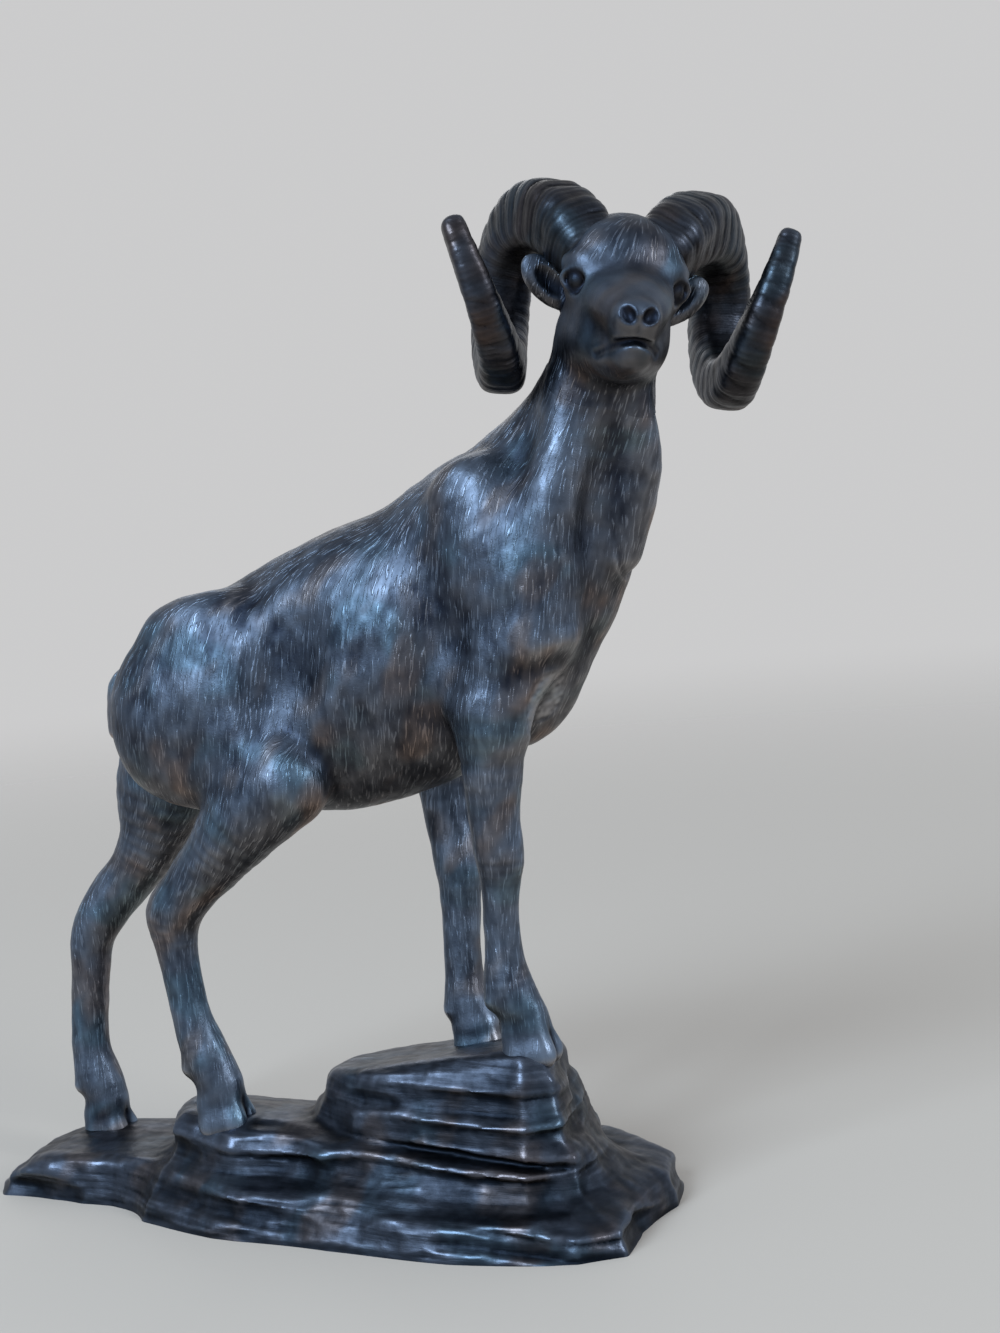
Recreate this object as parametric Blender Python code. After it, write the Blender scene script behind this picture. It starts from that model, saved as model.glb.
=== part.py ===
"""Bighorn ram standing on a stepped rock: one solid metal casting.

The form is built the way a sculptor builds a clay original. Simple volumes are blended on a
fine grid of distances, the surface of that clay is taken off as a mesh, and the underside is
cut flat. All sizes are millimetres until the mesh is made. The ram walks towards +X, its head
is turned to -Y, +Z is up, and the origin is in the middle of the flat underside.
"""
import math

import bmesh
import bpy
import numpy as np

MM = 0.001

# Grid and mesh
CELL = 0.5
FAR = 50.0
EDGE = 2.5
UP = np.array([0.0, 0.0, 1.0])
TRIANGLES = 11400
RELAX_PASSES = 2
RELAX = 0.35

# Sizes at which the stations and outlines below are drawn; the part's own sizes stretch them
DRAWN_LENGTH = 56.0
DRAWN_HEIGHT = 61.0
DRAWN_TRACK = 6.5
DRAWN_BASE = np.array([87.5, 34.0])

# Rock
BASE_LENGTH = 87.5
BASE_WIDTH = 34.0
FOOT_TOP = 5.3
FOOT_LEAN = 0.25
MIDDLE_TOP = 11.6
MIDDLE_DIP = 0.09
MIDDLE_LEAN = 0.42
UPPER_TOP = 17.4
UPPER_RISE = 0.11
UPPER_LEAN = 0.3
ROCK_EDGE = 1.8
LAYER_TILT = 0.035
LAYER_DEPTH = 0.5
CHIPS = 30
CHIP_LENGTH = 5.5
CHIP_HEIGHT = 1.7
CHIP_DEPTH = 0.8
CRACK_WIDTH = 0.5
CRACK_DEPTH = 1.5
LAYER_HEIGHTS = [0, 1.3, 1.9, 3.6, 4.0, 5.2, 6.1, 8.3, 8.8, 10.2, 11.4, 13.1, 13.5, 14.6, 16.4, 17.1, 18.8, 20]
LAYER_OFFSETS = [0, -0.6, 0.8, 0.3, -0.9, -0.5, 1.0, 0.5, -0.9, -0.4, 0.9, 0.4, -0.8, 0.8, 0.5, -0.8, -0.3, 0.6]
FOOT_OUTLINE = [(-43, -4.5), (-36, -6.5), (-27, -7.5), (-17, -10.5), (-6, -14.5), (6, -16.5), (21, -17.5),
                (35, -17), (40.5, -14), (39.5, -7), (42, 1), (40, 9), (33, 14.5), (18, 16.5), (2, 15.5),
                (-12, 13.5), (-27, 12.5), (-38, 11), (-44.5, 6.5), (-45.5, 0)]
MIDDLE_OUTLINE = [(-20, -10.5), (-9, -14), (6, -15), (24, -15.5), (34, -14), (38, -8), (38, 4), (32, 11),
                  (16, 14.5), (-4, 13.5), (-16, 11), (-24, 3)]
UPPER_OUTLINE = [(-1, -8), (6, -12.5), (16, -14.5), (29, -15), (35.5, -11.5), (36, -3), (33, 7), (26, 13),
                 (14, 14.5), (3, 12.5), (-4, 6), (-5, -2)]

# Ram: rump to chest, middle of the barrel above the floor, and half the distance between left and right legs
BODY_LENGTH = 56.0
BODY_HEIGHT = 61.0
TRACK = 6.5
LEG_FLATNESS = 0.86
HOOF_LENGTH = 6.2
HOOF_WIDTH = 5.0
HOOF_HEIGHT = 3.6
HOOF_SINK = 0.7
CLEFT = 0.4
DEWCLAW = 1.15
BARREL_WIDTH = 20.5
HAUNCH_WIDTH = 8.6
TAIL_LENGTH = 7.0
TAIL_RADIUS = 1.7

# Head: its place is the middle of the line between the eyes, above the middle of the barrel
HEAD_FORWARD = 46.1
HEAD_ASIDE = -8.2
HEAD_ABOVE = 39.3
HEAD_PITCH = -19.0
HEAD_YAW = 21.5
HEAD_ROLL = 9.5
HEAD_WIDTH = 11.6
MUZZLE_LENGTH = 12.4
MUZZLE_WIDTH = 5.4
FACE_STEPS = 14
EYE_SPACING = 9.8
EYE_MOUND = 2.1
EYE_LIFTS = {-1: 0.35, 1: 0.0}
EYE_RADIUS = 1.15
LID_RING = 1.4
LID_STRETCH = 1.15
LID_HEIGHT = 0.75
LID_RADIUS = 0.34
EYE_OUTWARD = 37.0
NOSTRIL_SPACING = 2.2
NOSTRIL_RADIUS = 0.72
MOUTH_DEPTH = 0.7
MOUTH_HEIGHT = 0.38
EAR_LENGTH = 6.6
EAR_WIDTH = 4.2
EAR_THICKNESS = 2.0
EAR_INSETS = {-1: 1.0, 1: 1.9}
EAR_DROPS = {-1: 3.3, 1: 4.2}
NECK_END = (-1.2, -2.8, -6.7)
# Share of the way to the head, how far the ring lies ahead and aside of the straight line, half sizes
NECK_RINGS = [(0, 0, 0, 12.6, 8.6), (0.265, 1.97, 1.0, 10.6, 7.4), (0.531, 2.33, 1.5, 8.0, 6.3),
              (0.788, 1.62, 0.96, 6.1, 5.7), (1, 0.3, 0, 5.2, 5.2)]

# Horns, each one turn of a spiral that drifts outwards
HORN_RING = 7.7
HORN_FLARE = 3.6
HORN_BACK = 9.0
HORN_DROP = 3.0
HORN_BASE = 3.8
HORN_TIP = 1.35
HORN_TAPER = 2.5
HORN_OPEN = 0.42
HORN_START = -34.0
HORN_TURNS = {-1: 343.0, 1: 352.0}
HORN_ROOT = 4.6
HORN_SIDES = {-1: 11.2, 1: 13.2}
HORN_SPREADS = {-1: 17.8, 1: 16.4}
HORN_CURLS = {-1: 1.6, 1: 2.4}
HORN_STEPS = 126
HORN_SQUARE = 3.0
HORN_FLATNESS = 0.92
HORN_JOINT = 0.22
RIDGE_PITCH = 2.0
RIDGE_HEIGHT = 0.32


def smooth_curve(stations, steps):
    """Rows along the stations, by a Catmull-Rom curve through every column."""
    rows = np.array(stations, float)
    first = 2 * rows[0] - rows[1]
    last = 2 * rows[-1] - rows[-2]
    rows = np.vstack([first, rows, last])
    out = []
    for i in range(1, len(rows) - 2):
        a, b, c, d = rows[i - 1:i + 3]
        for t in np.arange(steps) / steps:
            out.append(0.5 * (2 * b + (c - a) * t + (2 * a - 5 * b + 4 * c - d) * t * t
                              + (3 * b - a - 3 * c + d) * t ** 3))
    out.append(rows[-2])
    return np.array(out)


def smooth_min(a, b, blend):
    """Union of two distances, rounded over the blend length."""
    if blend <= 0:
        return np.minimum(a, b)
    h = np.maximum(blend - np.abs(a - b), 0) / blend
    return np.minimum(a, b) - h * h * blend / 4


def smooth_max(a, b, blend):
    """Intersection of two distances, rounded over the blend length."""
    return -smooth_min(-a, -b, blend)


class Clay:
    """Shapes blended one after another into signed distances on a regular grid, negative inside."""

    def __init__(self, cell):
        self.cell = cell
        self.steps = []

    def add(self, shape, blend=0.0):
        """Blend a shape into the clay."""
        self.steps.append((shape, blend, True))

    def carve(self, shape, blend=0.0):
        """Take a shape out of the clay."""
        self.steps.append((shape, blend, False))

    def fire(self):
        """Work out every step on a grid over all that was added."""
        added = [piece for shape, _, is_added in self.steps if is_added for piece in shape]
        self.low = np.min([piece[0] for piece in added], axis=0) - EDGE
        high = np.max([piece[1] for piece in added], axis=0) + EDGE
        size = np.ceil((high - self.low) / self.cell).astype(int) + 1
        self.value = np.full(size, FAR, np.float32)
        for shape, blend, is_added in self.steps:
            block, distance = self.measure(shape, blend)
            if is_added:
                self.value[block] = smooth_min(self.value[block], distance, blend)
            else:
                self.value[block] = smooth_max(self.value[block], -distance, blend)

    def window(self, low, high):
        """The block of the grid that covers a box, with its open coordinate arrays."""
        first = np.floor((np.array(low) - self.low) / self.cell).astype(int)
        last = np.ceil((np.array(high) - self.low) / self.cell).astype(int) + 1
        first = np.clip(first, 0, self.value.shape)
        last = np.clip(last, 0, self.value.shape)
        block = tuple(slice(a, b) for a, b in zip(first, last))
        axes = [self.low[i] + self.cell * np.arange(first[i], last[i]) for i in range(3)]
        return block, np.meshgrid(*axes, indexing="ij", sparse=True)

    def measure(self, shape, blend):
        """Distances to a shape, which is a list of (low, high, function) pieces."""
        margin = blend + 2 * self.cell
        low = np.min([piece[0] for piece in shape], axis=0) - margin
        high = np.max([piece[1] for piece in shape], axis=0) + margin
        block, _ = self.window(low, high)
        distance = np.full(self.value[block].shape, FAR, np.float32)
        start = [part.start for part in block]
        for piece_low, piece_high, function in shape:
            inner, grid = self.window(np.array(piece_low) - margin, np.array(piece_high) + margin)
            local = tuple(slice(part.start - s, part.stop - s) for part, s in zip(inner, start))
            distance[local] = np.minimum(distance[local], function(*grid))
        return block, distance


def ball(centre, radii, turn=None):
    """An ellipsoid; turn is a matrix whose columns are its own axes."""
    centre = np.array(centre, float)
    radii = np.array(radii, float)
    axes = np.eye(3) if turn is None else turn
    reach = np.sqrt(((axes * radii) ** 2).sum(axis=1))

    def distance(x, y, z):
        offset = (x - centre[0], y - centre[1], z - centre[2])
        local = [sum(offset[j] * axes[j, i] for j in range(3)) for i in range(3)]
        near = np.sqrt(sum((local[i] / radii[i]) ** 2 for i in range(3)))
        slope = np.sqrt(sum((local[i] / radii[i] ** 2) ** 2 for i in range(3)))
        return near * (near - 1) / np.maximum(slope, 1e-6)

    return [(centre - reach, centre + reach, distance)]


def limb(stations, steps=6, side=(0, 1, 0)):
    """A tapering round form along (x, y, z, radius, side radius) stations."""
    rows = smooth_curve(stations, steps)
    side = np.array(side, float)
    side = side / np.linalg.norm(side)
    pieces = []
    for first, last in zip(rows[:-1], rows[1:]):
        pieces.append(cone(first, last, side))
    return pieces


def cone(first, last, side):
    """One straight stretch of a limb, with round ends."""
    start = first[:3]
    run = last[:3] - start
    length = max(float(run @ run), 1e-9)
    reach = max(first[3], last[3], first[4], last[4])

    def distance(x, y, z):
        dx, dy, dz = x - start[0], y - start[1], z - start[2]
        t = np.clip((dx * run[0] + dy * run[1] + dz * run[2]) / length, 0, 1)
        dx, dy, dz = dx - t * run[0], dy - t * run[1], dz - t * run[2]
        radius = first[3] + t * (last[3] - first[3])
        width = first[4] + t * (last[4] - first[4])
        across = dx * side[0] + dy * side[1] + dz * side[2]
        square = dx * dx + dy * dy + dz * dz - across * across
        stretched = np.sqrt(np.maximum(square, 0) + (across * radius / width) ** 2)
        return (stretched - radius) * np.minimum(1, width / radius)

    low = np.minimum(start, last[:3]) - reach
    high = np.maximum(start, last[:3]) + reach
    return (low, high, distance)


def on_base(outline):
    """A drawn outline stretched to the base's length and width."""
    return np.array(outline, float) * (BASE_LENGTH, BASE_WIDTH) / DRAWN_BASE


def on_body(x, y, z):
    """A drawn point of the body, moved to the body's length and height."""
    return (x * BODY_LENGTH / DRAWN_LENGTH, y, z + BODY_HEIGHT - DRAWN_HEIGHT)


def body_limb(stations, steps=5):
    """A limb through drawn stations of the body."""
    return limb([(*on_body(*row[:3]), row[3], row[4]) for row in stations], steps)


def body_ball(centre, radii, turn=None):
    """An ellipsoid at a drawn point of the body."""
    return ball(on_body(*centre), radii, turn)


def outline_distance(x, y, points):
    """Distance in plan to a closed outline, negative inside."""
    nearest = np.full(np.broadcast(x, y).shape, FAR * FAR)
    inside = np.zeros(nearest.shape, bool)
    for a, b in zip(points, np.roll(points, -1, axis=0)):
        edge = b - a
        t = np.clip(((x - a[0]) * edge[0] + (y - a[1]) * edge[1]) / (edge @ edge), 0, 1)
        gap = (x - a[0] - t * edge[0]) ** 2 + (y - a[1] - t * edge[1]) ** 2
        nearest = np.minimum(nearest, gap)
        crosses = (a[1] > y) != (b[1] > y)
        rise = edge[1] if edge[1] else 1e-9
        inside ^= crosses & (x < a[0] + (y - a[1]) * edge[0] / rise)
    return np.where(inside, -1, 1) * np.sqrt(nearest)


def chips(points, bottom, top, phase):
    """Long shallow scallops round a ledge's sides, each as a place, a direction, a height and a size."""
    picks = np.random.default_rng(int(10 * phase))
    scallops = []
    for _ in range(CHIPS):
        corner = picks.integers(len(points))
        edge = points[(corner + 1) % len(points)] - points[corner]
        place = points[corner] + picks.uniform(0, 1) * edge
        along = edge / np.linalg.norm(edge)
        height = picks.uniform(bottom + CHIP_HEIGHT / 2, top)
        scallops.append((place, along, height, picks.uniform(0.6, 1.4)))
    return scallops


def ledge(outline, bottom, top, lean, phase):
    """A slab of layered rock with leaning, stepped, chipped sides under a top surface."""
    points = on_base(outline)
    scallops = chips(points, bottom, float(top(*points.mean(axis=0))), phase)
    low = np.append(points.min(axis=0) - ROCK_EDGE, -ROCK_EDGE)
    peak = max(float(top(px, py)) for px, py in points)
    high = np.append(points.max(axis=0) + ROCK_EDGE, peak + 2 * ROCK_EDGE)

    def distance(x, y, z):
        wave = np.sin(0.19 * x + phase) + 0.6 * np.sin(0.41 * y - 0.13 * x + 2 * phase)
        level = z + LAYER_TILT * x + 0.5 * wave
        depth = LAYER_DEPTH * (0.55 + 0.45 * np.sin(0.11 * x - 0.17 * y + 3 * phase))
        side = outline_distance(x, y, points) + lean * z + 0.5 * wave
        side = side + depth * np.interp(level, LAYER_HEIGHTS, LAYER_OFFSETS)
        for place, along, height, size in scallops:
            ahead = (x - place[0]) * along[0] + (y - place[1]) * along[1]
            aside = (y - place[1]) * along[0] - (x - place[0]) * along[1]
            apart = (ahead ** 2 + aside ** 2) / CHIP_LENGTH ** 2 + ((z - height) / CHIP_HEIGHT) ** 2
            side = side + CHIP_DEPTH * np.maximum(size ** 2 - apart, 0)
        side = side / math.hypot(1, lean)
        cover = z - top(x, y) - 0.22 * wave
        return smooth_max(side, cover, ROCK_EDGE)

    return [(low, high, distance)]


def foot_top(x, y):
    """Height of the low slab that carries the far hind hoof; it drops at both ends and to the near side."""
    ends = 0.22 * np.maximum(-37 - x, 0) + 0.14 * np.maximum(x - 30, 0)
    return FOOT_TOP - ends - 0.12 * np.maximum(-6 - y, 0)


def middle_top(x, y):
    """Height of the slab that carries the near hind hoof."""
    return MIDDLE_TOP - MIDDLE_DIP * (x + 10) - 0.3 * np.maximum(y + 1, 0) - 0.1 * np.maximum(-8 - y, 0)


def upper_top(x, y):
    """Height of the block that carries both fore hooves."""
    return UPPER_TOP + UPPER_RISE * (x - 17.7) - 0.12 * (y - 5.5) - 0.2 * np.maximum(3 - x, 0)


def make_rock(clay):
    """Three ledges, one on the other, split by a long crack."""
    clay.add(ledge(FOOT_OUTLINE, 0, foot_top, FOOT_LEAN, 0.4), 0.8)
    clay.add(ledge(MIDDLE_OUTLINE, FOOT_TOP - 2, middle_top, MIDDLE_LEAN, 1.9), 2.4)
    clay.add(ledge(UPPER_OUTLINE, MIDDLE_TOP - 1, upper_top, UPPER_LEAN, 3.1), 1.4)
    places = on_base([(-6, -8.6), (4, -10.6), (18, -12.0), (30, -12.0), (37, -9)])
    drops = (0.2, 0.6, 2.0, 3.2, 3.6)
    crack = [(*place, MIDDLE_TOP - drop, CRACK_WIDTH, CRACK_DEPTH) for place, drop in zip(places, drops)]
    clay.carve(limb(crack, 4), 0.8)


def head_axes():
    """Columns: the head's own left-to-right, forward and up directions."""
    yaw = math.radians(HEAD_YAW)
    pitch = math.radians(HEAD_PITCH)
    ahead = np.array([math.sin(yaw) * math.cos(pitch), -math.cos(yaw) * math.cos(pitch), math.sin(pitch)])
    level = np.cross((0, 0, 1), ahead)
    level = level / np.linalg.norm(level)
    up = np.cross(ahead, level)
    roll = math.radians(HEAD_ROLL)
    across = level * math.cos(roll) - up * math.sin(roll)
    return np.column_stack([across, ahead, np.cross(ahead, across)])


def head_point(place):
    """A point given as (across, forward, up) from the eyes, in the object's frame."""
    middle = np.array(on_body(HEAD_FORWARD, HEAD_ASIDE, DRAWN_HEIGHT + HEAD_ABOVE))
    return middle + head_axes() @ np.array(place, float)


def head_ball(place, radii):
    """An ellipsoid in the head's own frame."""
    return ball(head_point(place), radii, head_axes())


def head_limb(stations, steps=5):
    """A limb in the head's own frame."""
    rows = [(*head_point(row[:3]), row[3], row[4]) for row in stations]
    return limb(rows, steps, head_axes()[:, 0])


def horn_rows(sign):
    """Stations along one horn: middle, outward direction and half thickness."""
    axes = head_axes()
    rows = []
    for i in range(HORN_STEPS + 1):
        t = i / HORN_STEPS
        angle = math.radians(HORN_START + HORN_TURNS[sign] * t)
        lateral = horn_lateral(t, angle, sign)
        ring = HORN_RING + HORN_FLARE * max(t - 0.6, 0) / 0.4
        place = head_point((sign * lateral, -HORN_BACK - ring * math.sin(angle),
                            -HORN_DROP + ring * math.cos(angle)))
        outward = -math.sin(angle) * axes[:, 1] + math.cos(angle) * axes[:, 2]
        rows.append((place, outward, horn_radius(t)))
    return rows


def horn(sign):
    """One horn: a squarish section swept once round, with raised rings."""
    rows = horn_rows(sign)
    across = head_axes()[:, 0] * sign
    travelled = np.cumsum([0] + [np.linalg.norm(b[0] - a[0]) for a, b in zip(rows[:-1], rows[1:])])
    last = HORN_STEPS - 1
    return [horn_piece(rows[i], rows[i + 1], travelled[i:i + 2], across, travelled[-1], i in (0, last))
            for i in range(HORN_STEPS)]


def horn_lateral(t, angle, sign):
    """Distance of the horn's middle from the middle of the head; past the bottom it grows with the rise."""
    lateral = HORN_ROOT + (HORN_SIDES[sign] - HORN_ROOT) * math.sin(min(t / HORN_OPEN, 1) * math.pi / 2)
    if angle > math.pi:
        last = math.radians(HORN_START + HORN_TURNS[sign])
        rise = (1 + math.cos(angle)) / (1 + math.cos(last))
        lateral += (HORN_SPREADS[sign] - HORN_SIDES[sign]) * rise ** HORN_CURLS[sign]
    return lateral


def horn_radius(t):
    """Half thickness at a share of the length."""
    return HORN_TIP + (HORN_BASE - HORN_TIP) * (1 - t ** HORN_TAPER)


def horn_piece(first, last, travelled, across, whole, is_end):
    """One short stretch of a horn; only the two end stretches have round ends."""
    start = first[0]
    run = last[0] - start
    length = float(run @ run)
    reach = 1.35 * max(first[2], last[2])
    tangent = run / math.sqrt(length)
    outward = first[1] - tangent * (first[1] @ tangent)
    outward = outward / np.linalg.norm(outward)
    beside = np.cross(tangent, outward)
    beside = beside * math.copysign(1, beside @ across)

    def distance(x, y, z):
        dx, dy, dz = x - start[0], y - start[1], z - start[2]
        along = (dx * run[0] + dy * run[1] + dz * run[2]) / length
        t = np.clip(along, 0, 1)
        beyond = (along - t) * math.sqrt(length)
        radius = first[2] + t * (last[2] - first[2])
        arc = travelled[0] + t * (travelled[1] - travelled[0])
        fade = 1 - arc / whole
        ring = np.abs(np.sin(math.pi * arc / RIDGE_PITCH)) ** 0.6
        radius = radius + RIDGE_HEIGHT * (0.25 + 0.75 * fade) * (ring - 0.8)
        out = dx * outward[0] + dy * outward[1] + dz * outward[2]
        wide = (dx * beside[0] + dy * beside[1] + dz * beside[2]) / HORN_FLATNESS
        power = HORN_SQUARE
        section = np.abs(out) ** power + np.abs(wide) ** power
        if is_end:
            section = section + np.abs(beyond) ** power
        surface = (section ** (1 / power) - radius) * HORN_FLATNESS
        return surface if is_end else np.maximum(surface, np.abs(beyond) - HORN_JOINT)

    low = np.minimum(start, last[0]) - reach
    high = np.maximum(start, last[0]) + reach
    return (low, high, distance)


def make_head(clay):
    """Skull, forehead, cheeks, muzzle, jaw, lips and chin, with eyes, ears, nostrils and mouth."""
    half = HEAD_WIDTH / 2
    nose = MUZZLE_LENGTH
    lips = MUZZLE_WIDTH / 2
    clay.add(head_ball((0, -3.6, 0.2), (half * 0.95, 6.4, 6.0)), 2.0)
    clay.add(head_ball((0, -3.0, 2.4), (4.6, 4.0, 3.2)), 3.0)
    for sign in (-1, 1):
        clay.add(head_ball((sign * 3.2, -2.0, 2.5), (2.3, 3.0, 2.4)), 2.0)
        clay.add(head_ball((sign * 2.9 - 0.35, 0.2, -4.0), (2.0, 4.4, 3.6)), 2.0)
    face = [(0, -1.0, -0.9, 3.9, half * 0.88), (0, 3.5, -0.8, 3.2, half * 0.78),
            (0, 7.5, -0.9, 2.7, half * 0.6), (0, nose - 2.4, -1.2, 2.2, lips * 0.7)]
    clay.add(head_limb(face, FACE_STEPS), 1.4)
    jaw = [(0, -3.0, -5.8, 4.6, half * 0.92), (0, 2.0, -5.8, 3.8, half * 0.8),
           (0, 6.4, -5.3, 2.8, half * 0.58), (0, nose - 2.8, -4.9, 1.7, lips * 0.62)]
    clay.add(head_limb(jaw, FACE_STEPS), 1.8)
    clay.add(head_ball((0, nose - 2.6, -2.4), (lips * 0.78, 2.4, 2.0)), 1.0)
    clay.add(head_ball((0.2, nose - 2.8, -4.6), (1.7, 2.1, 1.5)), 1.2)
    for sign in (-1, 1):
        make_nostril(clay, sign)
        make_eye(clay, sign)
        make_ear(clay, sign)
    mouth = []
    for share in (-1.25, -0.85, -0.45, 0, 0.45, 0.8, 1.1):
        place = head_point((share * lips, nose - 0.5 - 2.9 * share * share, -2.9 - 1.7 * share * share))
        mouth.append((*place, MOUTH_HEIGHT, MOUTH_DEPTH))
    clay.carve(limb(mouth, FACE_STEPS, head_axes()[:, 1]), 0.4)
    clay.carve(head_limb([(0, nose + 0.4, -0.6, 0.22, 0.22), (0, nose + 0.2, -2.1, 0.22, 0.22)], 3), 0.4)


def make_nostril(clay, sign):
    """A comma-shaped opening in a low rounded rim."""
    side = sign * NOSTRIL_SPACING / 2
    clay.add(head_ball((side, MUZZLE_LENGTH - 1.2, -0.5), (0.9, 1.1, 0.85)), 1.6)
    slit = [(side * 0.78, MUZZLE_LENGTH + 0.1, -0.55, NOSTRIL_RADIUS * 0.75, NOSTRIL_RADIUS * 0.75),
            (side * 1.05, MUZZLE_LENGTH - 0.1, -0.25, NOSTRIL_RADIUS, NOSTRIL_RADIUS),
            (side * 1.45, MUZZLE_LENGTH - 0.5, 0.3, NOSTRIL_RADIUS * 0.6, NOSTRIL_RADIUS * 0.6)]
    clay.carve(head_limb(slit, 3), 0.3)


def make_eye(clay, sign):
    """Brow, socket, eyeball and lids, facing outwards and forwards."""
    outward = math.radians(EYE_OUTWARD)
    facing = np.array([sign * math.sin(outward), math.cos(outward), 0])
    beside = np.array([facing[1], -facing[0], 0])
    middle = np.array([sign * EYE_SPACING / 2, 0.6, EYE_LIFTS[sign]])
    clay.add(head_ball(middle - 1.3 * facing, (EYE_MOUND, EYE_MOUND, EYE_MOUND)), 1.8)
    clay.carve(head_ball(middle + 1.1 * facing, (LID_RING, LID_RING, LID_RING)), 0.3)
    clay.add(head_ball(middle - 0.1 * facing, (EYE_RADIUS, EYE_RADIUS, EYE_RADIUS)), 0)
    ring = []
    for i in range(9):
        angle = 2 * math.pi * i / 8
        place = middle + 0.5 * facing
        across = LID_STRETCH * math.cos(angle) * beside + LID_HEIGHT * math.sin(angle) * UP
        ring.append((*(place + LID_RING * across), LID_RADIUS, LID_RADIUS))
    clay.add(head_limb(ring, 3), 0.3)
    brow = [(*(middle - 0.5 * facing - 2.0 * beside * sign + 1.5 * UP), 0.5, 0.5),
            (*(middle - 0.2 * facing + 2.0 * UP), 0.6, 0.6),
            (*(middle - 0.9 * facing + 2.0 * beside * sign + 1.4 * UP), 0.4, 0.4)]
    clay.add(head_limb(brow, 4), 1.2)


def make_ear(clay, sign):
    """A short leaf-shaped ear with a hollow front."""
    root = np.array([sign * (HEAD_WIDTH / 2 - EAR_INSETS[sign]), -4.4, -EAR_DROPS[sign]])
    reach = np.array([sign * 0.74, -0.10, 0.60])
    reach = reach / np.linalg.norm(reach)
    front = np.array([-sign * 0.25, 0.93, 0.2])
    front = front - reach * (front @ reach)
    front = front / np.linalg.norm(front)
    local = np.column_stack([reach, front, np.cross(reach, front)])
    turn = head_axes() @ local
    half = EAR_LENGTH / 2
    middle = root + reach * half
    leaf = (half * 1.1, EAR_THICKNESS / 2, EAR_WIDTH / 2)
    hollow = (half * 0.76, EAR_THICKNESS * 0.5, EAR_WIDTH * 0.3)
    clay.add(ball(head_point(middle), leaf, turn), 0.5)
    inner = middle + front * EAR_THICKNESS * 0.66
    clay.carve(ball(head_point(inner), hollow, turn), 0.2)


def make_trunk(clay):
    """Barrel, rump, chest and neck."""
    half = BARREL_WIDTH / 2
    barrel = [(-10.8, 0.6, 60.6, 9.3, half * 0.82), (-4.5, 0.3, 61.0, 11.5, half * 0.86),
              (4.2, 0, 61.0, 15.0, half * 0.97), (12.4, 0, 63.4, 15.7, half),
              (19.4, 0, 65.8, 15.0, half * 0.94), (25.4, 0, 69.7, 13.1, half * 0.86),
              (29.8, 0, 73.4, 10.6, half * 0.78)]
    clay.add(body_limb(barrel, 5), 0)
    root = np.array(on_body(27.2, 0.3, 72.4))
    run = head_point(NECK_END) - root
    clay.add(limb([(*(root + run * share + (ahead, aside, 0)), radius, width)
                   for share, ahead, aside, radius, width in NECK_RINGS], 5), 3.0)
    clay.add(body_ball((29.8, -0.4, 60.4), (5.4, 6.0, 8.0), lean_back(24)), 2.0)
    tail = [(-19.6, 0.4, 63.0, TAIL_RADIUS, TAIL_RADIUS), (-22.4, 0.2, 61.4, TAIL_RADIUS, TAIL_RADIUS),
            (-23.2, 0, 63.5 - TAIL_LENGTH, TAIL_RADIUS * 0.7, TAIL_RADIUS * 0.7)]
    clay.add(body_limb(tail, 4), 1.0)


def lean_back(degrees):
    """Axes turned about Y so that the top leans towards +X."""
    angle = math.radians(degrees)
    return np.array([[math.cos(angle), 0, math.sin(angle)], [0, 1, 0], [-math.sin(angle), 0, math.cos(angle)]])


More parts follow.
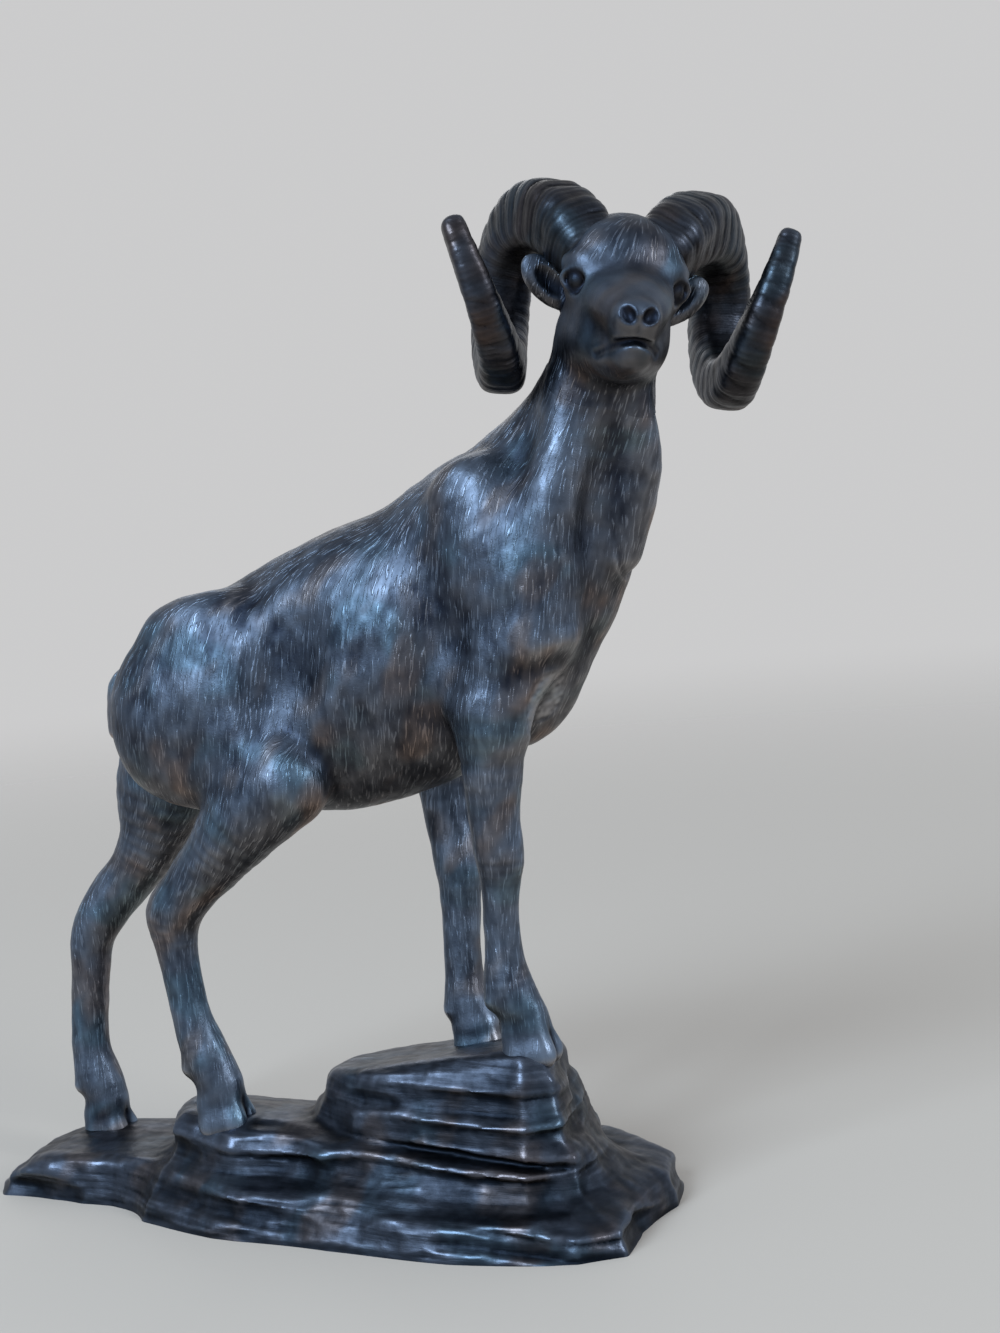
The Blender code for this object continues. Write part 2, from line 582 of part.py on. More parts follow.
def make_muscles(clay):
    """Shoulders, haunches and the hollows between them."""
    blade = [(27.0, -6.6, 80.0, 4.6, 3.0), (30.6, -7.2, 72.5, 6.2, 3.7), (32.4, -7.0, 65.6, 5.0, 3.7)]
    clay.add(body_limb(blade, 5), 2.4)
    point = [(33.0, -6.8, 66.4, 3.8, 3.3), (28.6, -7.6, 61.4, 5.2, 3.5), (27.3, -TRACK - 1.2, 56.5, 4.4, 3.2)]
    clay.add(body_limb(point, 5), 1.6)
    clay.add(body_ball((23.6, -8.2, 60.4), (3.2, 2.6, 4.4)), 1.6)
    far_blade = [(22.0, 6.2, 78.0, 5.0, 3.0), (23.6, 7.0, 69.0, 6.4, 3.7), (19.5, 7.2, 60.0, 5.4, 3.6),
                 (15.6, TRACK + 0.8, 53.0, 4.0, 3.0)]
    clay.add(body_limb(far_blade, 5), 2.4)
    clay.add(body_ball((-8.0, -5.0, 59.2), (10.8, HAUNCH_WIDTH - 3.0, 12.0)), 3.5)
    clay.add(body_ball((-1.6, -6.6, 52.4), (7.8, 4.6, 7.4)), 2.0)
    clay.add(body_ball((-13.6, -5.4, 57.4), (6.6, 4.6, 8.4)), 2.5)
    clay.add(body_ball((-15.0, 5.0, 57.8), (8.8, HAUNCH_WIDTH - 3.4, 11.0)), 3.5)
    for side in (-1, 1):
        shift = -1.5 * (1 + side)
        loin = [(-12, side * 5.0, 68.2, 2.4, 2.0), (-8, side * 5.6, 69.0, 2.6, 2.2),
                (-4.0, side * 5.2, 69.6, 2.2, 2.0)]
        clay.add(body_limb(loin, 4), 2.4)
        clay.carve(body_ball((4.6 + shift, side * 12.2, 64.5), (4.6, 3.9, 9.0), lean_back(12)), 3.0)
        hollow = [(20.0 + 2 * shift, side * 12.8, 75.0, 3.0, 3.0),
                  (22.4 + 2 * shift, side * 12.5, 64.0, 3.0, 3.2),
                  (21.2 + 2 * shift, side * 12.2, 55.0, 3.0, 3.2)]
        clay.carve(body_limb(hollow, 5), 3.0)
    crease = [(24.0, -13.0, 62.4, 1.0, 1.0), (28.5, -13.1, 61.2, 1.0, 1.0), (33.5, -11.5, 62.0, 1.0, 1.0),
              (36.6, -8.0, 64.2, 0.9, 0.9)]
    clay.carve(body_limb(crease, 5), 2.4)
    ridge = [(39.0, -6.6, 91.0, 2.0, 1.8), (37.6, -7.6, 84.0, 2.6, 2.0), (35.4, -8.2, 77.0, 2.8, 2.0),
             (33.8, -7.6, 70.0, 2.6, 1.8)]
    clay.add(body_limb(ridge, 5), 2.2)
    windpipe = [(45.2, -5.6, 89.5, 2.0, 1.9), (44.6, -3.0, 82.0, 2.4, 2.2), (41.2, -1.4, 73.5, 2.6, 2.4)]
    clay.add(body_limb(windpipe, 5), 1.6)


def leg(clay, stations, hoof, top, pastern, heel):
    """A leg from the body down to its hoof on the rock, ending a pastern's height above the ground."""
    rise = stations[0][2] - stations[-1][2]
    x, y, _ = on_body(hoof[0], hoof[1] * TRACK / DRAWN_TRACK, 0)
    ground = float(top(x, y))
    low = ground + pastern
    stretch = (on_body(0, 0, stations[0][2])[2] - low) / rise
    rows = []
    for drawn_x, drawn_y, drawn_z, radius in stations:
        place = on_body(drawn_x, drawn_y * TRACK / DRAWN_TRACK, 0)[:2]
        rows.append((*place, low + (drawn_z - stations[-1][2]) * stretch, radius, radius * LEG_FLATNESS))
    clay.add(limb(rows, 4), 1.2)
    make_hoof(clay, x, y, ground)
    fx, fy, fz, thick, _ = rows[-2]
    spur = [(fx - thick * 0.35, fy, fz + 2.4, DEWCLAW, DEWCLAW * 1.3),
            (fx - thick * 0.62, fy, fz - heel, DEWCLAW * 1.15, DEWCLAW * 1.8)]
    clay.add(limb(spur, 2), 0.7)
    notch = (DEWCLAW * 0.5, DEWCLAW * 0.4, DEWCLAW)
    clay.carve(ball((fx - thick * 1.1, fy, fz - heel - DEWCLAW * 0.9), notch), 0.3)


def make_hoof(clay, x, y, ground):
    """Two toes side by side, wider at the ground, with a cleft between them."""
    half = HOOF_LENGTH / 2
    width = HOOF_WIDTH / 4
    for side in (-1, 1):
        toe = [(x - half * 0.45, y + side * width, ground - HOOF_SINK, half * 0.62, width * 1.15),
               (x + half * 0.32, y + side * width * 0.95, ground - HOOF_SINK + 0.3, half * 0.58, width * 1.1)]
        clay.add(limb(toe, 2), 0.3)
        inner = y + side * width * 0.7
        crown = [(x - half * 0.5, inner, ground + HOOF_HEIGHT * 0.45, half * 0.62, width * 1.1),
                 (x + half * 0.05, inner, ground + HOOF_HEIGHT * 0.4, half * 0.6, width)]
        clay.add(limb(crown, 2), 0.9)
    cleft = [(x + half * 0.75, y, ground + HOOF_HEIGHT * 0.5, CLEFT, CLEFT * 0.5),
             (x + half * 1.1, y, ground + 0.6, CLEFT, CLEFT * 0.6)]
    clay.carve(limb(cleft, 3), 0.3)


def make_legs(clay):
    """Four legs, each planted on its own ledge."""
    near_fore = [(27.2, -7.8, 57.5, 4.0), (26.7, -7.2, 51.5, 3.4), (26.4, -6.9, 45.5, 2.8),
                 (26.4, -6.6, 41.8, 2.75), (26.2, -6.4, 38.4, 2.2), (25.8, -6.2, 34.0, 2.05),
                 (25.8, -6.0, 30.0, 2.2), (26.1, -5.8, 26.4, 2.75), (27.4, -5.5, 23.4, 2.6)]
    far_fore = [(14.8, 7.3, 51.0, 3.6), (15.2, 7.0, 46.0, 2.9), (15.9, 6.8, 41.5, 2.9), (16.3, 6.5, 38.0, 2.85),
                (16.3, 6.3, 33.8, 2.4), (16.1, 6.1, 29.0, 2.2), (16.1, 5.9, 25.0, 2.3), (16.4, 5.8, 22.0, 2.75),
                (17.4, 5.5, 19.6, 2.6)]
    near_hind = [(2.2, -8.0, 50.6, 5.2), (-3.0, -7.8, 47.0, 5.0), (-7.4, -7.4, 42.6, 3.9),
                 (-11.6, -7.0, 38.8, 3.3), (-14.4, -6.6, 35.6, 3.3), (-14.6, -6.5, 31.4, 2.55),
                 (-13.9, -6.5, 26.0, 2.3), (-13.2, -6.5, 22.0, 2.45), (-12.0, -6.5, 18.4, 2.9),
                 (-10.6, -6.5, 15.4, 2.7)]
    far_hind = [(-18.6, 7.2, 55.0, 7.0), (-21.4, 7.2, 49.4, 6.5), (-23.8, 7.0, 43.2, 4.6),
                (-27.0, 6.9, 38.4, 3.5), (-31.0, 6.7, 34.4, 3.3), (-34.0, 6.5, 30.0, 2.9),
                (-35.0, 6.5, 25.0, 2.5), (-35.8, 6.5, 19.0, 2.35), (-36.0, 6.5, 15.0, 2.5),
                (-35.4, 6.5, 11.8, 2.9), (-34.4, 6.5, 9.0, 2.7)]
    leg(clay, near_fore, (28.2, -5.5), upper_top, 3.5, 0.9)
    leg(clay, far_fore, (18.0, 5.5), upper_top, 2.2, 0.8)
    leg(clay, near_hind, (-9.9, -6.5), middle_top, 3.8, 0.9)
    leg(clay, far_hind, (-34.0, 6.5), foot_top, 3.7, 0.9)


def corner_views(value, axes):
    """Views of the samples at the corners of every grid face or cell that spans the axes."""
    views = [value]
    for axis in axes:
        ends = (slice(None, -1), slice(1, None))
        views = [view[(slice(None),) * axis + (end,)] for view in views for end in ends]
    return views


def settle(value):
    """Even out samples whose signs make a checker pattern, so that no two sheets share an edge."""
    for _ in range(40):
        found = 0
        for axes in ((0, 1), (0, 2), (1, 2), (0, 1, 2)):
            views = corner_views(value, axes)
            inside = [view < 0 for view in views]
            last = len(views) - 1
            for i in range(len(views) // 2):
                rest = [j for j in range(len(views)) if j not in (i, last - i)]
                checker = inside[i] == inside[last - i]
                for j in rest:
                    checker &= inside[j] != inside[i]
                found += int(checker.sum())
                middle = sum(view[checker] for view in views) / len(views)
                for view in views:
                    view[checker] = middle
                inside = [view < 0 for view in views]
        if not found:
            return


def surface_net(clay):
    """Vertices and quads of the surface where the distance is zero."""
    value = clay.value
    value[:, :, 0] = FAR
    settle(value)
    inner = np.array(value.shape) - 1
    total = np.zeros((inner.prod(), 3))
    hits = np.zeros(inner.prod())
    corner_sets = []
    for axis in range(3):
        ahead = [slice(None)] * 3
        behind = [slice(None)] * 3
        ahead[axis] = slice(1, None)
        behind[axis] = slice(None, -1)
        a = value[tuple(behind)]
        b = value[tuple(ahead)]
        place = np.argwhere((a < 0) != (b < 0))
        near = a[tuple(place.T)].astype(float)
        point = place.astype(float)
        point[:, axis] += near / (near - b[tuple(place.T)])
        others = [(axis + 1) % 3, (axis + 2) % 3]
        around = []
        for back_one, back_two in ((1, 1), (0, 1), (0, 0), (1, 0)):
            cell = place.copy()
            cell[:, others[0]] -= back_one
            cell[:, others[1]] -= back_two
            flat = np.ravel_multi_index(tuple(cell.T), inner)
            around.append(flat)
            for column in range(3):
                total[:, column] += np.bincount(flat, point[:, column], len(total))
            hits += np.bincount(flat, minlength=len(total))
        quad = np.column_stack(around)
        quad[near > 0] = quad[near > 0][:, ::-1]
        corner_sets.append(quad)
    used = np.nonzero(hits)[0]
    number = np.zeros(len(total), int)
    number[used] = np.arange(len(used))
    points = total[used] / hits[used, None] * clay.cell + clay.low
    return points, number[np.vstack(corner_sets)]


def relax(points, quads, passes, share):
    """Move each vertex part of the way to the middle of its neighbours."""
    pairs = np.vstack([quads[:, (i, (i + 1) % 4)] for i in range(4)])
    for _ in range(passes):
        total = np.zeros_like(points)
        for column in range(3):
            total[:, column] = np.bincount(pairs[:, 0], points[pairs[:, 1], column], len(points))
        hits = np.bincount(pairs[:, 0], minlength=len(points))[:, None]
        points = points + share * (total / np.maximum(hits, 1) - points)
    return points


def metal():
    """Dark aged cast metal."""
    material = bpy.data.materials.new("aged_metal")
    material.use_nodes = True
    shader = material.node_tree.nodes["Principled BSDF"]
    shader.inputs["Base Color"].default_value = (0.085, 0.092, 0.105, 1)
    shader.inputs["Metallic"].default_value = 1.0
    shader.inputs["Roughness"].default_value = 0.42
    material.diffuse_color = (0.085, 0.092, 0.105, 1)
    return material


def cast(name, clay):
    """The finished mesh object: surface, fewer triangles, flat underside."""
    points, quads = surface_net(clay)
    points = relax(points, quads, RELAX_PASSES, RELAX)
    mesh = bpy.data.meshes.new(name)
    mesh.from_pydata((points * MM).tolist(), [], quads.tolist())
    body = bpy.data.objects.new(name, mesh)
    bpy.context.scene.collection.objects.link(body)
    fewer = body.modifiers.new("fewer", "DECIMATE")
    fewer.ratio = TRIANGLES / (2 * len(quads))
    fewer.use_collapse_triangulate = True
    bpy.context.view_layer.update()
    coarse = body.evaluated_get(bpy.context.evaluated_depsgraph_get())
    shape = bmesh.new()
    shape.from_mesh(coarse.to_mesh())
    body.modifiers.clear()
    keep_outer_skin(shape)
    cut_flat(shape)
    shape.to_mesh(mesh)
    shape.free()
    mesh.shade_smooth()
    mesh.materials.append(metal())
    return body


def keep_outer_skin(shape):
    """Delete every loose or enclosed scrap of surface except the one outer skin."""
    waiting = set(shape.verts)
    skins = []
    while waiting:
        skin = set()
        edge_of_skin = [waiting.pop()]
        while edge_of_skin:
            vertex = edge_of_skin.pop()
            skin.add(vertex)
            for edge in vertex.link_edges:
                other = edge.other_vert(vertex)
                if other in waiting:
                    waiting.remove(other)
                    edge_of_skin.append(other)
        skins.append(skin)
    skins.sort(key=len)
    scraps = [vertex for skin in skins[:-1] for vertex in skin]
    bmesh.ops.delete(shape, geom=scraps, context="VERTS")


def cut_flat(shape):
    """Cut away what lies under the ground plane and close the underside."""
    parts = shape.verts[:] + shape.edges[:] + shape.faces[:]
    cut = bmesh.ops.bisect_plane(shape, geom=parts, dist=1e-7, plane_co=(0, 0, 0), plane_no=(0, 0, -1),
                                 clear_outer=True)
    rim = [item for item in cut["geom_cut"] if isinstance(item, bmesh.types.BMEdge)]
    bmesh.ops.holes_fill(shape, edges=rim, sides=0)
    bmesh.ops.triangulate(shape, faces=shape.faces[:])


def build():
    """Clear the scene, model the clay and cast it."""
    for item in list(bpy.data.objects):
        bpy.data.objects.remove(item, do_unlink=True)
    clay = Clay(CELL)
    make_trunk(clay)
    make_muscles(clay)
    make_legs(clay)
    make_head(clay)
    for sign in (-1, 1):
        clay.add(horn(sign), 0.4)
    make_rock(clay)
    clay.fire()
    return cast("ram_figurine", clay)


build()
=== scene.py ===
"""Looks of the bighorn figurine: the same clay as the part, on finer grids, with hair, tarnish, rubbed metal,
and painted light and shade.

Lengths are millimetres until a mesh is made; lamps and the floor are in metres. The ram walks towards
+X, its head is turned to -Y, +Z is up, and the origin is in the middle of the rock's flat underside.
"""
import math

import bmesh
import bpy
import numpy as np
from mathutils import Matrix


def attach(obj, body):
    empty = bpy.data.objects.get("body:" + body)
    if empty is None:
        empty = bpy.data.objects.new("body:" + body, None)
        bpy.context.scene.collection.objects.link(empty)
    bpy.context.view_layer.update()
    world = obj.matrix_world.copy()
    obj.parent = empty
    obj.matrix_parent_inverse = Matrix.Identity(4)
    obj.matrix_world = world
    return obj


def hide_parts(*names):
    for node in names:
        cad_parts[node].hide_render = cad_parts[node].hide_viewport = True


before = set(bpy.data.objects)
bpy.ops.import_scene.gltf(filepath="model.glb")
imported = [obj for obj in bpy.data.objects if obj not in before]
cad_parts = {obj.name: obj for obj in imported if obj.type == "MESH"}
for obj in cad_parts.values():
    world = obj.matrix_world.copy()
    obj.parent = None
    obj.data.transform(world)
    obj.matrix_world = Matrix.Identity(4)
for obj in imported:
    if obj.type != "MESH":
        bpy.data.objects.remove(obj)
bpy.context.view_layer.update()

MM = 0.001
FAR = 50.0
EDGE_SAMPLE = 0.5
UP = np.array([0.0, 0.0, 1.0])

# Grid cells and mesh finish
TRUNK_CELL = 0.28
HEAD_CELL = 0.2
HORN_CELL = 0.22
ROCK_CELL = 0.3
RELAX_PASSES = 1
RELAX = 0.3
CAP_ANGLE = 60.0

# Passes of smoothing that a vertex is measured against, for fine edges and for broad forms; these set the
# wear, tarnish, painted light and painted shade
WEAR_AND_SHADE_PASSES = (4, 24)
COAT_WEAR_AND_SHADE_PASSES = (4, 26)
HEAD_WEAR_AND_SHADE_PASSES = (6, 50)

# Coat: tufts and locks are noise drawn out along the lie of the hair and cut into the mesh
TUFT_LENGTH = 2.6
TUFT_WIDTH = 0.42
TUFT_DEPTH = 0.022
FACE_TUFT_DEPTH = 0.002
LOCK_LENGTH = 1.8 * TUFT_LENGTH
LOCK_WIDTH = 2.4 * TUFT_WIDTH
DENT_WIDTH = 3.6
DENT_DEPTH = 0.12
FACE_DENTS = 0.25

# Single hairs, drawn by the shader: width, step between samples, samples, and the range that shows
HAIR_WIDTH = 0.22
HAIR_STEP = 0.15
HAIR_TAPS = 13
HAIR_SPARSE = (0.52, 0.6)

# Face: how much of the edge wear and of the broad wear and painted light it shows, and how far the painted
# shade of the eyes, nostrils and mouth reaches
FACE_EDGE = 0.3
FACE_FORM = 0.4
EYE_SHADE = (1.1, 1.7)
NOSTRIL_SHADE = (0.9, 1.35)
MOUTH_SHADE = (0.25, 0.6)
SHADE_DEPTH = 0.07

# Brisket: an oval of short stubble between the foreleg and the edge of the chest
BRISKET_PLACE = (33.0, -6.2, 58.0)
BRISKET_RADII = (3.2, 3.4, 4.4)
BRISKET_SINK = 0.16
BRISKET_WEAR = 4.0
STUBBLE_WIDTH = 0.45
STUBBLE_DEPTH = 0.03
STUBBLE_WEAR = 1.6

# Horn and rock surface
WRINKLE_PITCH = 0.62
WRINKLE_DEPTH = 0.02
FINE_WRINKLE_PITCH = 0.52
NOTCH_DEPTH = 0.24
HORN_PIT_DEPTH = 0.05
HORN_RELIEF = 0.2
STRATUM_WIDTH = 0.55
STRATUM_LENGTH = 7.0
STRATUM_DEPTH = 0.09
TOP_GRAIN_DEPTH = 0.09
LUMP_WIDTH = 5.0
LUMP_DEPTH = 0.32
PIT_WIDTH = 0.9
PIT_DEPTH = 0.03

# Wear and painted light: each row turns a range of a mesh value or a noise into a range of the share of
# bright metal; broad swells get painted light, broad hollows painted shade
RELIEF_WEAR = (-1.0, 1.2, 0.08, 0.17)
PROUD_WEAR = (1.2, 5.0, 0.0, 0.6)
EDGE_WEAR = (0.0, 0.08, 0.0, 0.5)
# Broad swells: wear and painted light
FORM_WEAR_AND_PAINTED_LIGHT = (-0.08, 0.3, 0.0, 0.35)
CLOUD_WEAR = (0.3, 0.7, -0.06, 0.2)
# Fine recesses: tarnish, and painted shade in the eyes, nostrils and mouth
EDGE_TARNISH_AND_PAINTED_SHADE = (-0.08, 0.0, 0.0, 1.0)
# Broad hollows: painted shade
FORM_PAINTED_SHADE = (-0.3, 0.0, 0.1, 1.0)

# Metal: factors on the bright metal for two tints, on both colours for specks, and the spread of roughness
TEAL = (0.7, 1.05, 1.08)
BROWN = (1.3, 0.97, 0.76)
SPECK = (0.45, 0.42, 0.4)
MOTTLE = 0.05

# Metal of each kind of piece: depth of the bump, dark colour, bright colour, factor for a painted brownish
# reflection on faces that look down, range of tilt for it, roughness where dark and where worn, and how much
# the grain brightens the metal
COAT_METAL = (0.045, (0.012, 0.017, 0.030), (0.18, 0.245, 0.355), (1.8, 1.25, 0.85),
              (0.1, -0.6), (0.47, 0.35), 0.3)
HORN_METAL = (0.025, (0.005, 0.006, 0.009), (0.065, 0.08, 0.112), (1.5, 1.1, 0.8),
              (-0.1, -0.8), (0.45, 0.33), 0.1)
ROCK_METAL = (0.03, (0.006, 0.009, 0.015), (0.075, 0.098, 0.145), (1.3, 1.05, 0.8),
              (0.0, -0.6), (0.46, 0.34), 0.15)

# Stage: the floor fades out between two distances
FLOOR_RADIUS = 1.6
FLOOR_SIDES = 96
FLOOR_FADE = (0.10, 0.75)
FLOOR_COLOUR = (0.46, 0.455, 0.445)
WORLD_COLOUR = (0.6, 0.6, 0.605)

# Lamps: name, place, size, power and colour; all look at one point
LAMP_TARGET = (0.005, 0, 0.06)
LAMPS = [("key", (-0.28, -0.72, 0.55), (0.45, 0.45), 7.5, (0.84, 0.93, 1.0)),
         ("side", (0.85, -0.3, 0.45), (0.25, 0.4), 3.4, (1.0, 0.98, 0.95)),
         ("rim", (-0.4, 0.8, 0.5), (0.4, 0.3), 0.6, (1.0, 1.0, 1.0))]

# Camera: azimuth, elevation and roll
CAMERA_ANGLES = (20.0, 4.5, -5.0)
CAMERA_TARGET = (26.0, 0.0, 61.5)
CAMERA_DISTANCE = 210.0
CAMERA_LENS = 51.04
CAMERA_SENSOR = 36.0
CAMERA_RANGE = (0.01, 20.0)

# Joints between pieces, and the boxes that each piece is cut from
TRUNK_CUT_X = 6.0
CUT_REACH = 1.2
HEAD_CUT_PLACE = (41.0, -4.2, 90.6)
HEAD_CUT_LINE = (0.42, -0.38, 0.82)
HIND_BOX = ((-42, -20, 3.5), (TRUNK_CUT_X + CUT_REACH, 20, 86))
FORE_BOX = ((TRUNK_CUT_X - CUT_REACH, -20, 12), (52, 20, 101))
HEAD_BOX = ((26, -27, 78), (60, 12, 112))
ROCK_BOX = ((-49, -31, -2.5), (46, 21, 24))
HORN_MARGIN = 1.5

# Rock
FOOT_TOP = 5.3
FOOT_LEAN = 0.25
MIDDLE_TOP = 11.6
MIDDLE_DIP = 0.09
MIDDLE_LEAN = 0.42
UPPER_TOP = 17.4
UPPER_RISE = 0.11
UPPER_LEAN = 0.3
ROCK_EDGE = 1.8
LAYER_TILT = 0.035
LAYER_DEPTH = 0.5
CHIPS = 30
CHIP_LENGTH = 5.5
CHIP_HEIGHT = 1.7
CHIP_DEPTH = 0.8
CRACK_WIDTH = 0.5
CRACK_DEPTH = 1.5
# Height of each layer's edge and how far it stands out
LAYERS = [(0, 0), (1.3, -0.6), (1.9, 0.8), (3.6, 0.3), (4.0, -0.9), (5.2, -0.5), (6.1, 1.0), (8.3, 0.5),
          (8.8, -0.9), (10.2, -0.4), (11.4, 0.9), (13.1, 0.4), (13.5, -0.8), (14.6, 0.8), (16.4, 0.5),
          (17.1, -0.8), (18.8, -0.3), (20, 0.6)]
FOOT_OUTLINE = [(-43, -4.5), (-36, -6.5), (-27, -7.5), (-17, -10.5), (-6, -14.5), (6, -16.5), (21, -17.5),
                (35, -17), (40.5, -14), (39.5, -7), (42, 1), (40, 9), (33, 14.5), (18, 16.5), (2, 15.5),
                (-12, 13.5), (-27, 12.5), (-38, 11), (-44.5, 6.5), (-45.5, 0)]
MIDDLE_OUTLINE = [(-20, -10.5), (-9, -14), (6, -15), (24, -15.5), (34, -14), (38, -8), (38, 4), (32, 11),
                  (16, 14.5), (-4, 13.5), (-16, 11), (-24, 3)]
UPPER_OUTLINE = [(-1, -8), (6, -12.5), (16, -14.5), (29, -15), (35.5, -11.5), (36, -3), (33, 7), (26, 13),
                 (14, 14.5), (3, 12.5), (-4, 6), (-5, -2)]

# Ram
LEG_FLATNESS = 0.86
HOOF_LENGTH = 6.2
HOOF_WIDTH = 5.0
HOOF_HEIGHT = 3.6
HOOF_SINK = 0.7
CLEFT = 0.4
DEWCLAW = 1.15
BARREL_WIDTH = 20.5
HAUNCH_WIDTH = 8.6
TAIL_LENGTH = 7.0
TAIL_RADIUS = 1.7

# Head: its place is the middle of the line between the eyes
HEAD_PLACE = np.array([46.1, -8.2, 100.3])
HEAD_PITCH = -19.0
HEAD_YAW = 21.5
HEAD_ROLL = 9.5
HEAD_WIDTH = 11.6
MUZZLE_LENGTH = 12.4
MUZZLE_WIDTH = 5.4
FACE_STEPS = 14
EYE_SPACING = 9.8
EYE_MOUND = 2.1
EYE_LIFTS = {-1: 0.35, 1: 0.0}
EYE_RADIUS = 1.15
LID_RING = 1.4
LID_STRETCH = 1.15
LID_HEIGHT = 0.75
LID_RADIUS = 0.34
EYE_OUTWARD = 37.0
NOSTRIL_SPACING = 2.2
NOSTRIL_RADIUS = 0.72
MOUTH_DEPTH = 0.7
MOUTH_HEIGHT = 0.38
MOUTH_DROP = 1.7
MOUTH_BEND = 2.9
EAR_LENGTH = 6.6
EAR_WIDTH = 4.2
EAR_THICKNESS = 2.0
EAR_INSETS = {-1: 1.0, 1: 1.9}
EAR_DROPS = {-1: 3.3, 1: 4.2}
NECK_START = np.array([27.2, 0.3, 72.4])
NECK_END = (-1.2, -2.8, -6.7)
# Share of the way to the head, how far the ring lies ahead and aside of the straight line, half sizes
NECK_RINGS = [(0, 0, 0, 12.6, 8.6), (0.265, 1.97, 1.0, 10.6, 7.4), (0.531, 2.33, 1.5, 8.0, 6.3),
              (0.788, 1.62, 0.96, 6.1, 5.7), (1, 0.3, 0, 5.2, 5.2)]

# Horns, each one turn of a spiral that drifts outwards
HORN_RING = 7.7
HORN_FLARE = 3.6
HORN_BACK = 9.0
HORN_DROP = 3.0
HORN_BASE = 3.8
HORN_TIP = 1.35
HORN_TAPER = 2.5
HORN_OPEN = 0.42
HORN_START = -34.0
HORN_TURNS = {-1: 343.0, 1: 352.0}
HORN_ROOT = 4.6
HORN_SIDES = {-1: 11.2, 1: 13.2}
HORN_SPREADS = {-1: 17.8, 1: 16.4}
HORN_CURLS = {-1: 1.6, 1: 2.4}
HORN_STEPS = 126
HORN_SQUARE = 3.0
HORN_FLATNESS = 0.92
HORN_JOINT = 0.22
RIDGE_PITCH = 2.0
RIDGE_HEIGHT = 0.2


def smooth_curve(stations, steps):
    """Rows along the stations, by a Catmull-Rom curve through every column."""
    rows = np.array(stations, float)
    first = 2 * rows[0] - rows[1]
    last = 2 * rows[-1] - rows[-2]
    rows = np.vstack([first, rows, last])
    out = []
    for i in range(1, len(rows) - 2):
        a, b, c, d = rows[i - 1:i + 3]
        for t in np.arange(steps) / steps:
            out.append(0.5 * (2 * b + (c - a) * t + (2 * a - 5 * b + 4 * c - d) * t * t
                              + (3 * b - a - 3 * c + d) * t ** 3))
    out.append(rows[-2])
    return np.array(out)


def smooth_min(a, b, blend):
    """Union of two distances, rounded over the blend length."""
    if blend <= 0:
        return np.minimum(a, b)
    h = np.maximum(blend - np.abs(a - b), 0) / blend
    return np.minimum(a, b) - h * h * blend / 4


def smooth_max(a, b, blend):
    """Intersection of two distances, rounded over the blend length."""
    return -smooth_min(-a, -b, blend)


def unit(vectors):
    """A vector, or each row of a table of vectors, scaled to length one."""
    return vectors / np.maximum(np.linalg.norm(vectors, axis=-1, keepdims=True), 1e-9)


def box_round(shape, margin):
    """Low and high corner of a box round a shape, which is a list of (low, high, function) pieces."""
    return (np.min([piece[0] for piece in shape], axis=0) - margin,
            np.max([piece[1] for piece in shape], axis=0) + margin)


class Clay:
    """Shapes blended one after another into signed distances on a regular grid, negative inside."""

    def __init__(self, cell):
        self.cell = cell
        self.steps = []

    def add(self, shape, blend=0.0):
        """Blend a shape into the clay."""
        self.steps.append((shape, blend, True))

    def carve(self, shape, blend=0.0):
        """Take a shape out of the clay."""
        self.steps.append((shape, blend, False))

    def fire(self, low, high):
        """Work out every step on a grid over a box."""
        self.low = np.array(low, float)
        size = np.ceil((np.array(high, float) - self.low) / self.cell).astype(int) + 1
        self.value = np.full(size, FAR, np.float32)
        for shape, blend, is_added in self.steps:
            block, distance = self.measure(shape, blend)
            if is_added:
                self.value[block] = smooth_min(self.value[block], distance, blend)
            else:
                self.value[block] = smooth_max(self.value[block], -distance, blend)

    def window(self, low, high):
        """The block of the grid that covers a box, with its open coordinate arrays."""
        first = np.floor((np.array(low) - self.low) / self.cell).astype(int)
        last = np.ceil((np.array(high) - self.low) / self.cell).astype(int) + 1
        first = np.clip(first, 0, self.value.shape)
        last = np.clip(last, 0, self.value.shape)
        block = tuple(slice(a, b) for a, b in zip(first, last))
        axes = [self.low[i] + self.cell * np.arange(first[i], last[i]) for i in range(3)]
        return block, np.meshgrid(*axes, indexing="ij", sparse=True)

    def measure(self, shape, blend):
        """The block of the grid round a shape, and the distances to the shape in it."""
        margin = blend + 2 * self.cell
        block, _ = self.window(*box_round(shape, margin))
        distance = np.full(self.value[block].shape, FAR, np.float32)
        start = [part.start for part in block]
        for piece_low, piece_high, function in shape:
            inner, grid = self.window(np.array(piece_low) - margin, np.array(piece_high) + margin)
            local = tuple(slice(part.start - s, part.stop - s) for part, s in zip(inner, start))
            distance[local] = np.minimum(distance[local], function(*grid))
        return block, distance


def ball(centre, radii, turn=None):
    """An ellipsoid; turn is a matrix whose columns are its own axes."""
    centre = np.array(centre, float)
    radii = np.array(radii, float)
    axes = np.eye(3) if turn is None else turn
    reach = np.sqrt(((axes * radii) ** 2).sum(axis=1))

    def distance(x, y, z):
        offset = (x - centre[0], y - centre[1], z - centre[2])
        local = [sum(offset[j] * axes[j, i] for j in range(3)) for i in range(3)]
        near = np.sqrt(sum((local[i] / radii[i]) ** 2 for i in range(3)))
        slope = np.sqrt(sum((local[i] / radii[i] ** 2) ** 2 for i in range(3)))
        return near * (near - 1) / np.maximum(slope, 1e-6)

    return [(centre - reach, centre + reach, distance)]


def limb(stations, steps=5, side=(0, 1, 0)):
    """A tapering round form along (x, y, z, radius, side radius) stations."""
    rows = smooth_curve(stations, steps)
    side = unit(np.array(side, float))
    return [cone(first, last, side) for first, last in zip(rows[:-1], rows[1:])]


